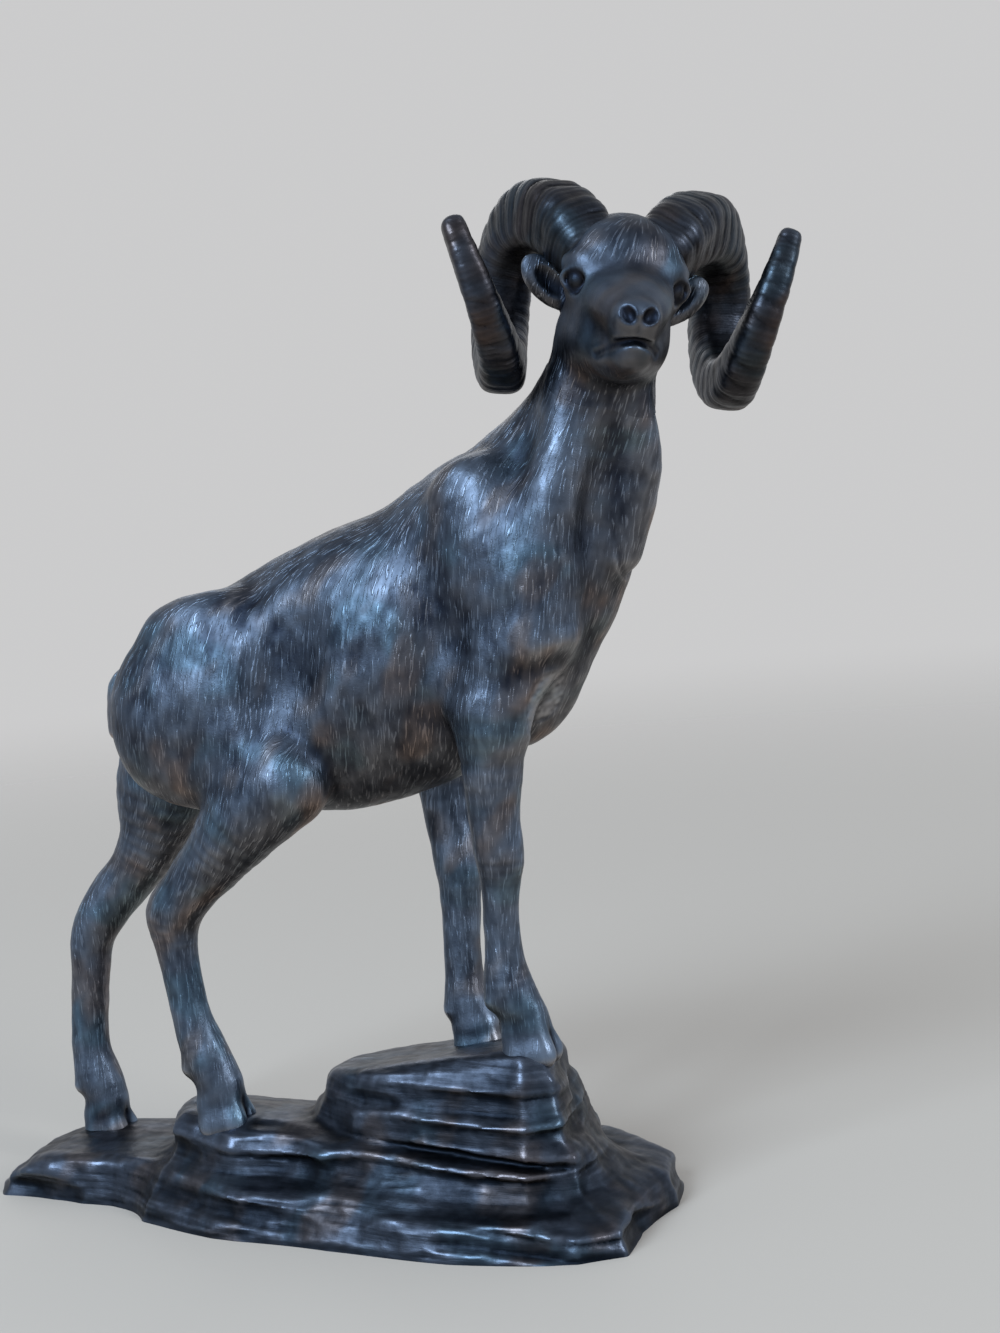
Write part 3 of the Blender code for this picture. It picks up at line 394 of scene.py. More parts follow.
def cone(first, last, side):
    """One straight stretch of a limb, with round ends."""
    start = first[:3]
    run = last[:3] - start
    length = max(float(run @ run), 1e-9)
    reach = max(first[3], last[3], first[4], last[4])

    def distance(x, y, z):
        dx, dy, dz = x - start[0], y - start[1], z - start[2]
        t = np.clip((dx * run[0] + dy * run[1] + dz * run[2]) / length, 0, 1)
        dx, dy, dz = dx - t * run[0], dy - t * run[1], dz - t * run[2]
        radius = first[3] + t * (last[3] - first[3])
        width = first[4] + t * (last[4] - first[4])
        across = dx * side[0] + dy * side[1] + dz * side[2]
        square = dx * dx + dy * dy + dz * dz - across * across
        stretched = np.sqrt(np.maximum(square, 0) + (across * radius / width) ** 2)
        return (stretched - radius) * np.minimum(1, width / radius)

    low = np.minimum(start, last[:3]) - reach
    high = np.maximum(start, last[:3]) + reach
    return (low, high, distance)


def outline_distance(x, y, points):
    """Distance in plan to a closed outline, negative inside."""
    nearest = np.full(np.broadcast(x, y).shape, FAR * FAR)
    inside = np.zeros(nearest.shape, bool)
    for a, b in zip(points, np.roll(points, -1, axis=0)):
        edge = b - a
        t = np.clip(((x - a[0]) * edge[0] + (y - a[1]) * edge[1]) / (edge @ edge), 0, 1)
        gap = (x - a[0] - t * edge[0]) ** 2 + (y - a[1] - t * edge[1]) ** 2
        nearest = np.minimum(nearest, gap)
        crosses = (a[1] > y) != (b[1] > y)
        rise = edge[1] if edge[1] else 1e-9
        inside ^= crosses & (x < a[0] + (y - a[1]) * edge[0] / rise)
    return np.where(inside, -1, 1) * np.sqrt(nearest)


def chips(points, bottom, top, phase):
    """Long shallow scallops round a ledge's sides, each as a place, a direction, a height and a size."""
    picks = np.random.default_rng(int(10 * phase))
    scallops = []
    for _ in range(CHIPS):
        corner = picks.integers(len(points))
        edge = points[(corner + 1) % len(points)] - points[corner]
        place = points[corner] + picks.uniform(0, 1) * edge
        height = picks.uniform(bottom + CHIP_HEIGHT / 2, top)
        scallops.append((place, unit(edge), height, picks.uniform(0.6, 1.4)))
    return scallops


def ledge(outline, bottom, top, lean, phase):
    """A slab of layered rock with leaning, stepped, chipped sides under a top surface."""
    points = np.array(outline, float)
    scallops = chips(points, bottom, float(top(*points.mean(axis=0))), phase)
    low = np.append(points.min(axis=0) - ROCK_EDGE, -ROCK_EDGE)
    peak = max(float(top(px, py)) for px, py in points)
    high = np.append(points.max(axis=0) + ROCK_EDGE, peak + 2 * ROCK_EDGE)
    heights, offsets = zip(*LAYERS)

    def distance(x, y, z):
        wave = np.sin(0.19 * x + phase) + 0.6 * np.sin(0.41 * y - 0.13 * x + 2 * phase)
        level = z + LAYER_TILT * x + 0.5 * wave
        depth = LAYER_DEPTH * (0.55 + 0.45 * np.sin(0.11 * x - 0.17 * y + 3 * phase))
        side = outline_distance(x, y, points) + lean * z + 0.5 * wave
        side = side + depth * np.interp(level, heights, offsets)
        for place, along, height, size in scallops:
            ahead = (x - place[0]) * along[0] + (y - place[1]) * along[1]
            aside = (y - place[1]) * along[0] - (x - place[0]) * along[1]
            apart = (ahead ** 2 + aside ** 2) / CHIP_LENGTH ** 2 + ((z - height) / CHIP_HEIGHT) ** 2
            side = side + CHIP_DEPTH * np.maximum(size ** 2 - apart, 0)
        side = side / math.hypot(1, lean)
        cover = z - top(x, y) - 0.22 * wave
        return smooth_max(side, cover, ROCK_EDGE)

    return [(low, high, distance)]


def foot_top(x, y):
    """Height of the low slab that carries the far hind hoof; it drops at both ends and to the near side."""
    ends = 0.22 * np.maximum(-37 - x, 0) + 0.14 * np.maximum(x - 30, 0)
    return FOOT_TOP - ends - 0.12 * np.maximum(-6 - y, 0)


def middle_top(x, y):
    """Height of the slab that carries the near hind hoof."""
    return MIDDLE_TOP - MIDDLE_DIP * (x + 10) - 0.3 * np.maximum(y + 1, 0) - 0.1 * np.maximum(-8 - y, 0)


def upper_top(x, y):
    """Height of the block that carries both fore hooves."""
    return UPPER_TOP + UPPER_RISE * (x - 17.7) - 0.12 * (y - 5.5) - 0.2 * np.maximum(3 - x, 0)


def make_rock(clay):
    """Three ledges, one on the other, split by a long crack."""
    clay.add(ledge(FOOT_OUTLINE, 0, foot_top, FOOT_LEAN, 0.4), 0.8)
    clay.add(ledge(MIDDLE_OUTLINE, FOOT_TOP - 2, middle_top, MIDDLE_LEAN, 1.9), 2.4)
    clay.add(ledge(UPPER_OUTLINE, MIDDLE_TOP - 1, upper_top, UPPER_LEAN, 3.1), 1.4)
    route = [(-6, -8.6, 0.2), (4, -10.6, 0.6), (18, -12.0, 2.0), (30, -12.0, 3.2), (37, -9, 3.6)]
    crack = [(x, y, MIDDLE_TOP - drop, CRACK_WIDTH, CRACK_DEPTH) for x, y, drop in route]
    clay.carve(limb(crack, 4), 0.8)


def head_axes():
    """Columns: the head's own left-to-right, forward and up directions."""
    yaw = math.radians(HEAD_YAW)
    pitch = math.radians(HEAD_PITCH)
    ahead = np.array([math.sin(yaw) * math.cos(pitch), -math.cos(yaw) * math.cos(pitch), math.sin(pitch)])
    level = unit(np.cross(UP, ahead))
    up = np.cross(ahead, level)
    roll = math.radians(HEAD_ROLL)
    across = level * math.cos(roll) - up * math.sin(roll)
    return np.column_stack([across, ahead, np.cross(ahead, across)])


def head_point(place):
    """A point given as (across, forward, up) from the eyes, in the object's frame."""
    return HEAD_PLACE + head_axes() @ np.array(place, float)


def head_ball(place, radii):
    """An ellipsoid in the head's own frame."""
    return ball(head_point(place), radii, head_axes())


def head_limb(stations, steps):
    """A limb in the head's own frame."""
    rows = [(*head_point(row[:3]), *row[3:]) for row in stations]
    return limb(rows, steps, head_axes()[:, 0])


def horn_rows(sign):
    """Along one horn: middle, outward direction, half thickness and the length up to there."""
    axes = head_axes()
    rows = []
    travelled = 0.0
    for i in range(HORN_STEPS + 1):
        t = i / HORN_STEPS
        angle = math.radians(HORN_START + HORN_TURNS[sign] * t)
        ring = HORN_RING + HORN_FLARE * max(t - 0.6, 0) / 0.4
        place = head_point((sign * horn_lateral(t, angle, sign), -HORN_BACK - ring * math.sin(angle),
                            -HORN_DROP + ring * math.cos(angle)))
        outward = -math.sin(angle) * axes[:, 1] + math.cos(angle) * axes[:, 2]
        radius = HORN_TIP + (HORN_BASE - HORN_TIP) * (1 - t ** HORN_TAPER)
        if rows:
            travelled += np.linalg.norm(place - rows[-1][0])
        rows.append((place, outward, radius, travelled))
    return rows


def horn(sign):
    """One horn: a squarish section swept once round, with raised rings."""
    rows = horn_rows(sign)
    across = head_axes()[:, 0] * sign
    return [horn_piece(rows[i], rows[i + 1], across, rows[-1][3], i in (0, HORN_STEPS - 1))
            for i in range(HORN_STEPS)]


def horn_lateral(t, angle, sign):
    """Distance of the horn's middle from the middle of the head; past the bottom it grows with the rise."""
    lateral = HORN_ROOT + (HORN_SIDES[sign] - HORN_ROOT) * math.sin(min(t / HORN_OPEN, 1) * math.pi / 2)
    if angle > math.pi:
        last = math.radians(HORN_START + HORN_TURNS[sign])
        rise = (1 + math.cos(angle)) / (1 + math.cos(last))
        lateral += (HORN_SPREADS[sign] - HORN_SIDES[sign]) * rise ** HORN_CURLS[sign]
    return lateral


def horn_piece(first, last, across, whole, is_end):
    """One short stretch of a horn; only the two end stretches have round ends."""
    start = first[0]
    run = last[0] - start
    length = float(run @ run)
    reach = 1.35 * max(first[2], last[2])
    tangent = run / math.sqrt(length)
    outward = unit(first[1] - tangent * (first[1] @ tangent))
    beside = np.cross(tangent, outward)
    beside = beside * math.copysign(1, beside @ across)

    def distance(x, y, z):
        dx, dy, dz = x - start[0], y - start[1], z - start[2]
        along = (dx * run[0] + dy * run[1] + dz * run[2]) / length
        t = np.clip(along, 0, 1)
        beyond = (along - t) * math.sqrt(length)
        radius = first[2] + t * (last[2] - first[2])
        arc = first[3] + t * (last[3] - first[3])
        fade = 1 - arc / whole
        ring = np.abs(np.sin(math.pi * arc / RIDGE_PITCH)) ** 0.6
        radius = radius + RIDGE_HEIGHT * (0.25 + 0.75 * fade) * (ring - 0.8)
        out = dx * outward[0] + dy * outward[1] + dz * outward[2]
        wide = (dx * beside[0] + dy * beside[1] + dz * beside[2]) / HORN_FLATNESS
        section = np.abs(out) ** HORN_SQUARE + np.abs(wide) ** HORN_SQUARE
        if is_end:
            section = section + np.abs(beyond) ** HORN_SQUARE
        surface = (section ** (1 / HORN_SQUARE) - radius) * HORN_FLATNESS
        return surface if is_end else np.maximum(surface, np.abs(beyond) - HORN_JOINT)

    low = np.minimum(start, last[0]) - reach
    high = np.maximum(start, last[0]) + reach
    return (low, high, distance)


def make_head(clay):
    """Skull, forehead, cheeks, muzzle, jaw, lips and chin, with eyes, ears, nostrils and mouth."""
    half = HEAD_WIDTH / 2
    nose = MUZZLE_LENGTH
    lips = MUZZLE_WIDTH / 2
    clay.add(head_ball((0, -3.6, 0.2), (half * 0.95, 6.4, 6.0)), 2.0)
    clay.add(head_ball((0, -3.0, 2.4), (4.6, 4.0, 3.2)), 3.0)
    for sign in (-1, 1):
        clay.add(head_ball((sign * 3.2, -2.0, 2.5), (2.3, 3.0, 2.4)), 2.0)
        clay.add(head_ball((sign * 2.9 - 0.35, 0.2, -4.0), (2.0, 4.4, 3.6)), 2.0)
    face = [(0, -1.0, -0.9, 3.9, half * 0.88), (0, 3.5, -0.8, 3.2, half * 0.78),
            (0, 7.5, -0.9, 2.7, half * 0.6), (0, nose - 2.4, -1.2, 2.2, lips * 0.7)]
    clay.add(head_limb(face, FACE_STEPS), 1.4)
    jaw = [(0, -3.0, -5.8, 4.6, half * 0.92), (0, 2.0, -5.8, 3.8, half * 0.8),
           (0, 6.4, -5.3, 2.8, half * 0.58), (0, nose - 2.8, -4.9, 1.7, lips * 0.62)]
    clay.add(head_limb(jaw, FACE_STEPS), 1.8)
    clay.add(head_ball((0, nose - 2.6, -2.4), (lips * 0.78, 2.4, 2.0)), 1.0)
    clay.add(head_ball((0.2, nose - 2.8, -4.6), (1.7, 2.1, 1.5)), 1.2)
    for sign in (-1, 1):
        make_nostril(clay, sign)
        make_eye(clay, sign)
        make_ear(clay, sign)
    mouth = [(*head_point(mouth_point(share)), MOUTH_HEIGHT, MOUTH_DEPTH)
             for share in (-1.25, -0.85, -0.45, 0, 0.45, 0.8, 1.1)]
    clay.carve(limb(mouth, FACE_STEPS, head_axes()[:, 1]), 0.4)
    clay.carve(head_limb([(0, nose + 0.4, -0.6, 0.22, 0.22), (0, nose + 0.2, -2.1, 0.22, 0.22)], 3), 0.4)


def mouth_point(share, inset=0.5):
    """A point on the line of the mouth, in the head's own frame; share is -1 and 1 at the muzzle's sides."""
    drop = share * share
    return (share * MUZZLE_WIDTH / 2, MUZZLE_LENGTH - inset - MOUTH_BEND * drop, -2.9 - MOUTH_DROP * drop)


def make_nostril(clay, sign):
    """A comma-shaped opening in a low rounded rim."""
    side = sign * NOSTRIL_SPACING / 2
    clay.add(head_ball((side, MUZZLE_LENGTH - 1.2, -0.5), (0.9, 1.1, 0.85)), 1.6)
    slit = [(side * 0.78, MUZZLE_LENGTH + 0.1, -0.55, NOSTRIL_RADIUS * 0.75, NOSTRIL_RADIUS * 0.75),
            (side * 1.05, MUZZLE_LENGTH - 0.1, -0.25, NOSTRIL_RADIUS, NOSTRIL_RADIUS),
            (side * 1.45, MUZZLE_LENGTH - 0.5, 0.3, NOSTRIL_RADIUS * 0.6, NOSTRIL_RADIUS * 0.6)]
    clay.carve(head_limb(slit, 3), 0.3)


def make_eye(clay, sign):
    """Brow, socket, eyeball and lids, facing outwards and forwards."""
    outward = math.radians(EYE_OUTWARD)
    facing = np.array([sign * math.sin(outward), math.cos(outward), 0])
    beside = np.array([facing[1], -facing[0], 0])
    middle = np.array([sign * EYE_SPACING / 2, 0.6, EYE_LIFTS[sign]])
    clay.add(head_ball(middle - 1.3 * facing, (EYE_MOUND, EYE_MOUND, EYE_MOUND)), 1.8)
    clay.carve(head_ball(middle + 1.1 * facing, (LID_RING, LID_RING, LID_RING)), 0.3)
    clay.add(head_ball(middle - 0.1 * facing, (EYE_RADIUS, EYE_RADIUS, EYE_RADIUS)), 0)
    ring = []
    for i in range(9):
        angle = 2 * math.pi * i / 8
        place = middle + 0.5 * facing
        across = LID_STRETCH * math.cos(angle) * beside + LID_HEIGHT * math.sin(angle) * UP
        ring.append((*(place + LID_RING * across), LID_RADIUS, LID_RADIUS))
    clay.add(head_limb(ring, 3), 0.3)
    brow = [(*(middle - 0.5 * facing - 2.0 * beside * sign + 1.5 * UP), 0.5, 0.5),
            (*(middle - 0.2 * facing + 2.0 * UP), 0.6, 0.6),
            (*(middle - 0.9 * facing + 2.0 * beside * sign + 1.4 * UP), 0.4, 0.4)]
    clay.add(head_limb(brow, 4), 1.2)


def make_ear(clay, sign):
    """A short leaf-shaped ear with a hollow front."""
    root = np.array([sign * (HEAD_WIDTH / 2 - EAR_INSETS[sign]), -4.4, -EAR_DROPS[sign]])
    reach = unit(np.array([sign * 0.74, -0.10, 0.60]))
    front = np.array([-sign * 0.25, 0.93, 0.2])
    front = unit(front - reach * (front @ reach))
    turn = head_axes() @ np.column_stack([reach, front, np.cross(reach, front)])
    half = EAR_LENGTH / 2
    middle = root + reach * half
    leaf = (half * 1.1, EAR_THICKNESS / 2, EAR_WIDTH / 2)
    hollow = (half * 0.76, EAR_THICKNESS * 0.5, EAR_WIDTH * 0.3)
    clay.add(ball(head_point(middle), leaf, turn), 0.5)
    inner = middle + front * EAR_THICKNESS * 0.66
    clay.carve(ball(head_point(inner), hollow, turn), 0.2)


def make_trunk(clay):
    """Barrel, rump, chest and neck."""
    half = BARREL_WIDTH / 2
    barrel = [(-10.8, 0.6, 60.6, 9.3, half * 0.82), (-4.5, 0.3, 61.0, 11.5, half * 0.86),
              (4.2, 0, 61.0, 15.0, half * 0.97), (12.4, 0, 63.4, 15.7, half),
              (19.4, 0, 65.8, 15.0, half * 0.94), (25.4, 0, 69.7, 13.1, half * 0.86),
              (29.8, 0, 73.4, 10.6, half * 0.78)]
    clay.add(limb(barrel), 0)
    run = head_point(NECK_END) - NECK_START
    clay.add(limb([(*(NECK_START + run * share + (ahead, aside, 0)), radius, width)
                   for share, ahead, aside, radius, width in NECK_RINGS]), 3.0)
    clay.add(ball((29.8, -0.4, 60.4), (5.4, 6.0, 8.0), lean_back(24)), 2.0)
    tail = [(-19.6, 0.4, 63.0, TAIL_RADIUS, TAIL_RADIUS), (-22.4, 0.2, 61.4, TAIL_RADIUS, TAIL_RADIUS),
            (-23.2, 0, 63.5 - TAIL_LENGTH, TAIL_RADIUS * 0.7, TAIL_RADIUS * 0.7)]
    clay.add(limb(tail, 4), 1.0)


def lean_back(degrees):
    """Axes turned about Y so that the top leans towards +X."""
    cosine = math.cos(math.radians(degrees))
    sine = math.sin(math.radians(degrees))
    return np.array([[cosine, 0, sine], [0, 1, 0], [-sine, 0, cosine]])


def make_muscles(clay):
    """Shoulders, haunches and the hollows between them."""
    blade = [(27.0, -6.6, 80.0, 4.6, 3.0), (30.6, -7.2, 72.5, 6.2, 3.7), (32.4, -7.0, 65.6, 5.0, 3.7)]
    clay.add(limb(blade), 2.4)
    point = [(33.0, -6.8, 66.4, 3.8, 3.3), (28.6, -7.6, 61.4, 5.2, 3.5), (27.3, -7.7, 56.5, 4.4, 3.2)]
    clay.add(limb(point), 1.6)
    clay.add(ball((23.6, -8.2, 60.4), (3.2, 2.6, 4.4)), 1.6)
    far_blade = [(22.0, 6.2, 78.0, 5.0, 3.0), (23.6, 7.0, 69.0, 6.4, 3.7), (19.5, 7.2, 60.0, 5.4, 3.6),
                 (15.6, 7.3, 53.0, 4.0, 3.0)]
    clay.add(limb(far_blade), 2.4)
    clay.add(ball((-8.0, -5.0, 59.2), (10.8, HAUNCH_WIDTH - 3.0, 12.0)), 3.5)
    clay.add(ball((-1.6, -6.6, 52.4), (7.8, 4.6, 7.4)), 2.0)
    clay.add(ball((-13.6, -5.4, 57.4), (6.6, 4.6, 8.4)), 2.5)
    clay.add(ball((-15.0, 5.0, 57.8), (8.8, HAUNCH_WIDTH - 3.4, 11.0)), 3.5)
    for side in (-1, 1):
        shift = -1.5 * (1 + side)
        loin = [(-12, side * 5.0, 68.2, 2.4, 2.0), (-8, side * 5.6, 69.0, 2.6, 2.2),
                (-4.0, side * 5.2, 69.6, 2.2, 2.0)]
        clay.add(limb(loin, 4), 2.4)
        clay.carve(ball((4.6 + shift, side * 12.2, 64.5), (4.6, 3.9, 9.0), lean_back(12)), 3.0)
        hollow = [(20.0 + 2 * shift, side * 12.8, 75.0, 3.0, 3.0),
                  (22.4 + 2 * shift, side * 12.5, 64.0, 3.0, 3.2),
                  (21.2 + 2 * shift, side * 12.2, 55.0, 3.0, 3.2)]
        clay.carve(limb(hollow), 3.0)
    crease = [(24.0, -13.0, 62.4, 1.0, 1.0), (28.5, -13.0, 61.0, 1.0, 1.0), (33.0, -11.6, 61.0, 0.9, 0.9),
              (36.0, -8.6, 61.8, 0.8, 0.8)]
    clay.carve(limb(crease), 2.4)
    ridge = [(39.0, -6.6, 91.0, 2.0, 1.8), (37.6, -7.6, 84.0, 2.6, 2.0), (35.4, -8.2, 77.0, 2.8, 2.0),
             (33.8, -7.6, 70.0, 2.6, 1.8)]
    clay.add(limb(ridge), 2.2)
    windpipe = [(45.2, -5.6, 89.5, 2.0, 1.9), (44.6, -3.0, 82.0, 2.4, 2.2), (41.2, -1.4, 73.5, 2.6, 2.4)]
    clay.add(limb(windpipe), 1.6)


def leg(clay, stations, hoof, top, pastern, heel):
    """A leg from the body down to its hoof on the rock, ending a pastern's height above the ground."""
    ground = float(top(*hoof))
    low = ground + pastern
    high = stations[0][2]
    drawn_low = stations[-1][2]
    stretch = (high - low) / (high - drawn_low)
    rows = [(x, y, low + (z - drawn_low) * stretch, radius, radius * LEG_FLATNESS)
            for x, y, z, radius in stations]
    clay.add(limb(rows, 4), 1.2)
    make_hoof(clay, *hoof, ground)
    x, y, z, thick, _ = rows[-2]
    spur = [(x - thick * 0.35, y, z + 2.4, DEWCLAW, DEWCLAW * 1.3),
            (x - thick * 0.62, y, z - heel, DEWCLAW * 1.15, DEWCLAW * 1.8)]
    clay.add(limb(spur, 2), 0.7)
    notch = (DEWCLAW * 0.5, DEWCLAW * 0.4, DEWCLAW)
    clay.carve(ball((x - thick * 1.1, y, z - heel - DEWCLAW * 0.9), notch), 0.3)


def make_hoof(clay, x, y, ground):
    """Two toes side by side, wider at the ground, with a cleft between them."""
    half = HOOF_LENGTH / 2
    width = HOOF_WIDTH / 4
    for side in (-1, 1):
        toe = [(x - half * 0.45, y + side * width, ground - HOOF_SINK, half * 0.62, width * 1.15),
               (x + half * 0.32, y + side * width * 0.95, ground - HOOF_SINK + 0.3, half * 0.58, width * 1.1)]
        clay.add(limb(toe, 2), 0.3)
        inner = y + side * width * 0.7
        crown = [(x - half * 0.5, inner, ground + HOOF_HEIGHT * 0.45, half * 0.62, width * 1.1),
                 (x + half * 0.05, inner, ground + HOOF_HEIGHT * 0.4, half * 0.6, width)]
        clay.add(limb(crown, 2), 0.9)
    cleft = [(x + half * 0.75, y, ground + HOOF_HEIGHT * 0.5, CLEFT, CLEFT * 0.5),
             (x + half * 1.1, y, ground + 0.6, CLEFT, CLEFT * 0.6)]
    clay.carve(limb(cleft, 3), 0.3)


def make_legs(clay):
    """Four legs, each planted on its own ledge."""
    near_fore = [(27.2, -7.8, 57.5, 4.0), (26.7, -7.2, 51.5, 3.4), (26.4, -6.9, 45.5, 2.8),
                 (26.4, -6.6, 41.8, 2.75), (26.2, -6.4, 38.4, 2.2), (25.8, -6.2, 34.0, 2.05),
                 (25.8, -6.0, 30.0, 2.2), (26.1, -5.8, 26.4, 2.75), (27.4, -5.5, 23.4, 2.6)]
    far_fore = [(14.8, 7.3, 51.0, 3.6), (15.2, 7.0, 46.0, 2.9), (15.9, 6.8, 41.5, 2.9),
                (16.3, 6.5, 38.0, 2.85), (16.3, 6.3, 33.8, 2.4), (16.1, 6.1, 29.0, 2.2),
                (16.1, 5.9, 25.0, 2.3), (16.4, 5.8, 22.0, 2.75), (17.4, 5.5, 19.6, 2.6)]
    near_hind = [(2.2, -8.0, 50.6, 5.2), (-3.0, -7.8, 47.0, 5.0), (-7.4, -7.4, 42.6, 3.9),
                 (-11.6, -7.0, 38.8, 3.3), (-14.4, -6.6, 35.6, 3.3), (-14.6, -6.5, 31.4, 2.55),
                 (-13.9, -6.5, 26.0, 2.3), (-13.2, -6.5, 22.0, 2.45), (-12.0, -6.5, 18.4, 2.9),
                 (-10.6, -6.5, 15.4, 2.7)]
    far_hind = [(-18.6, 7.2, 55.0, 7.0), (-21.4, 7.2, 49.4, 6.5), (-23.8, 7.0, 43.2, 4.6),
                (-27.0, 6.9, 38.4, 3.5), (-31.0, 6.7, 34.4, 3.3), (-34.0, 6.5, 30.0, 2.9),
                (-35.0, 6.5, 25.0, 2.5), (-35.8, 6.5, 19.0, 2.35), (-36.0, 6.5, 15.0, 2.5),
                (-35.4, 6.5, 11.8, 2.9), (-34.4, 6.5, 9.0, 2.7)]
    leg(clay, near_fore, (28.2, -5.5), upper_top, 3.5, 0.9)
    leg(clay, far_fore, (18.0, 5.5), upper_top, 2.2, 0.8)
    leg(clay, near_hind, (-9.9, -6.5), middle_top, 3.8, 0.9)
    leg(clay, far_hind, (-34.0, 6.5), foot_top, 3.7, 0.9)


def surface_net(clay):
    """Vertices and quads of the surface where the distance is zero."""
    value = clay.value
    inner = np.array(value.shape) - 1
    cells = []
    crossings = []
    quads = []
    for axis in range(3):
        ahead = [slice(None)] * 3
        behind = [slice(None)] * 3
        ahead[axis] = slice(1, None)
        behind[axis] = slice(None, -1)
        a = value[tuple(behind)]
        b = value[tuple(ahead)]
        place = np.argwhere((a < 0) != (b < 0))
        near = a[tuple(place.T)].astype(float)
        point = place.astype(float)
        point[:, axis] += near / (near - b[tuple(place.T)])
        around = []
        for back_one, back_two in ((1, 1), (0, 1), (0, 0), (1, 0)):
            cell = place.copy()
            cell[:, (axis + 1) % 3] -= back_one
            cell[:, (axis + 2) % 3] -= back_two
            around.append(np.ravel_multi_index(tuple(cell.T), inner))
            crossings.append(point)
        cells += around
        quad = np.column_stack(around)
        flip = near > 0
        quad[flip] = quad[flip][:, ::-1]
        quads.append(quad)
    used, number = np.unique(np.concatenate(cells), return_inverse=True)
    points = np.vstack(crossings)
    hits = np.bincount(number)
    middle = np.column_stack([np.bincount(number, points[:, i]) / hits for i in range(3)])
    return middle * clay.cell + clay.low, np.searchsorted(used, np.vstack(quads))


def neighbour_mean(values, quads):
    """Each vertex's mean of its neighbours along the quads' edges."""
    pairs = np.vstack([quads[:, (i, (i + 1) % 4)] for i in range(4)])
    hits = np.bincount(pairs[:, 0], minlength=len(values))
    total = [np.bincount(pairs[:, 0], column[pairs[:, 1]], len(values)) for column in values.T]
    return np.column_stack(total) / np.maximum(hits, 1)[:, None]


def relax(points, quads, passes, share):
    """Move each vertex part of the way to the middle of its neighbours."""
    for _ in range(passes):
        points = points + share * (neighbour_mean(points, quads) - points)
    return points


def vertex_normals(points, quads):
    """Unit normals at the vertices."""
    corners = points[quads]
    across = np.cross(corners[:, 2] - corners[:, 0], corners[:, 3] - corners[:, 1])
    total = [sum(np.bincount(corner, column, len(points)) for corner in quads.T) for column in across.T]
    return unit(np.column_stack(total))


def broad_normals(points, quads, passes=6):
    """Unit normals that follow the broad form and pass over small bumps."""
    return unit(relax(vertex_normals(points, quads), quads, passes, 0.6))


def measure_wear_and_shade(points, quads, passes):
    """How far each vertex stands out from its surroundings, for fine edges and for broad forms; the metal
    turns these into rubbed bright metal, tarnish, painted light and painted shade.
    """
    normals = vertex_normals(points, quads)
    proud = [((points - relax(points, quads, count, 0.8)) * normals).sum(axis=1) for count in passes]
    return {"edge": proud[0], "form": proud[1]}


def lattice(corner, seed):
    """Repeatable random values from -1 to 1 at whole-number points."""
    x, y, z = (corner[:, i].astype(np.uint32) for i in range(3))
    mixed = x * np.uint32(73856093) ^ y * np.uint32(19349663) ^ z * np.uint32(83492791)
    mixed = mixed ^ np.uint32(seed * 7919)
    mixed = (mixed ^ (mixed >> np.uint32(15))) * np.uint32(2246822519)
    mixed = (mixed ^ (mixed >> np.uint32(13))) * np.uint32(3266489917)
    mixed = mixed ^ (mixed >> np.uint32(16))
    return mixed.astype(np.float64) / 2147483647.5 - 1


def noise(points, seed):
    """Smooth noise with one bump per unit of length."""
    base = np.floor(points).astype(np.int64)
    t = points - base
    t = t * t * (3 - 2 * t)
    total = np.zeros(len(points))
    for corner in range(8):
        step = np.array([corner & 1, corner >> 1 & 1, corner >> 2])
        weight = np.prod(np.where(step, t, 1 - t), axis=1)
        total += weight * lattice(base + step, seed)
    return total


def strands(points, lie, length, width, seed):
    """Noise averaged along the lie of the hair, so that it makes streaks; about -1 to 1."""
    total = np.zeros(len(points))
    weights = 0
    for share in np.linspace(-0.5, 0.5, 9):
        weight = math.cos(share * math.pi) + 0.15
        total += weight * noise((points + lie * (share * length)) / width, seed)
        weights += weight
    total /= weights
    return np.tanh(total / (2.2 * total.std()) * 2)


def ease(values, low, high):
    """0 below low, 1 above high, smooth between."""
    t = np.clip((values - low) / (high - low), 0, 1)
    return t * t * (3 - 2 * t)


def coat_lie(points, normals):
    """Which way the hair lies: down, and then by part of the body."""
    x, y, z = points.T
    back = ease(normals[:, 2], 0.25, 0.85)
    thigh = ease(8 - x, 0, 6) * ease(50 - z, 0, 6) * ease(z, 33, 38)
    shank = ease(38 - z, 0, 6)
    neck = ease(z, 76, 84)
    tail = ease(-20 - x, 0, 2) * ease(z, 52, 56)
    lie = np.tile([-0.16, 0.0, -1.0], (len(points), 1))
    for share, way in ((back, (-0.85, 0.0, -0.52)), (thigh, (-0.5, 0.0, -0.86)), (shank, (0.0, 0.0, -1.0)),
                       (neck, (-0.42, 0.12, -0.9)), (tail, (-0.3, 0.0, -1.0))):
        lie = lie * (1 - share)[:, None] + np.array(way) * share[:, None]
    return unit(lie - normals * (lie * normals).sum(axis=1)[:, None])


def coat_share(points):
    """How much of the coat shows: all on the trunk and the legs, less on the hooves."""
    x, y, z = points.T
    ground = np.where(x > 10, 17.0, np.where(x > -20, 11.0, 5.0))
    return 0.4 + 0.6 * ease(z - ground, 3.5, 8)


def in_head(points):
    """Points moved into the head's own frame: across, forward and up from the eyes."""
    return (points - HEAD_PLACE) @ head_axes()


def head_depth(points):
    """Strand depth on the head: hair on the forehead, cheeks and throat, a smooth face."""
    across, ahead, above = in_head(points).T
    forehead = ease(above, 2.4, 3.4) * ease(6 - ahead, 2, 5)
    share = np.clip(forehead + ease(-above, 5.5, 8.0) + ease(-ahead, 1.0, 4.0), 0, 1)
    return FACE_TUFT_DEPTH + (TUFT_DEPTH - FACE_TUFT_DEPTH) * share


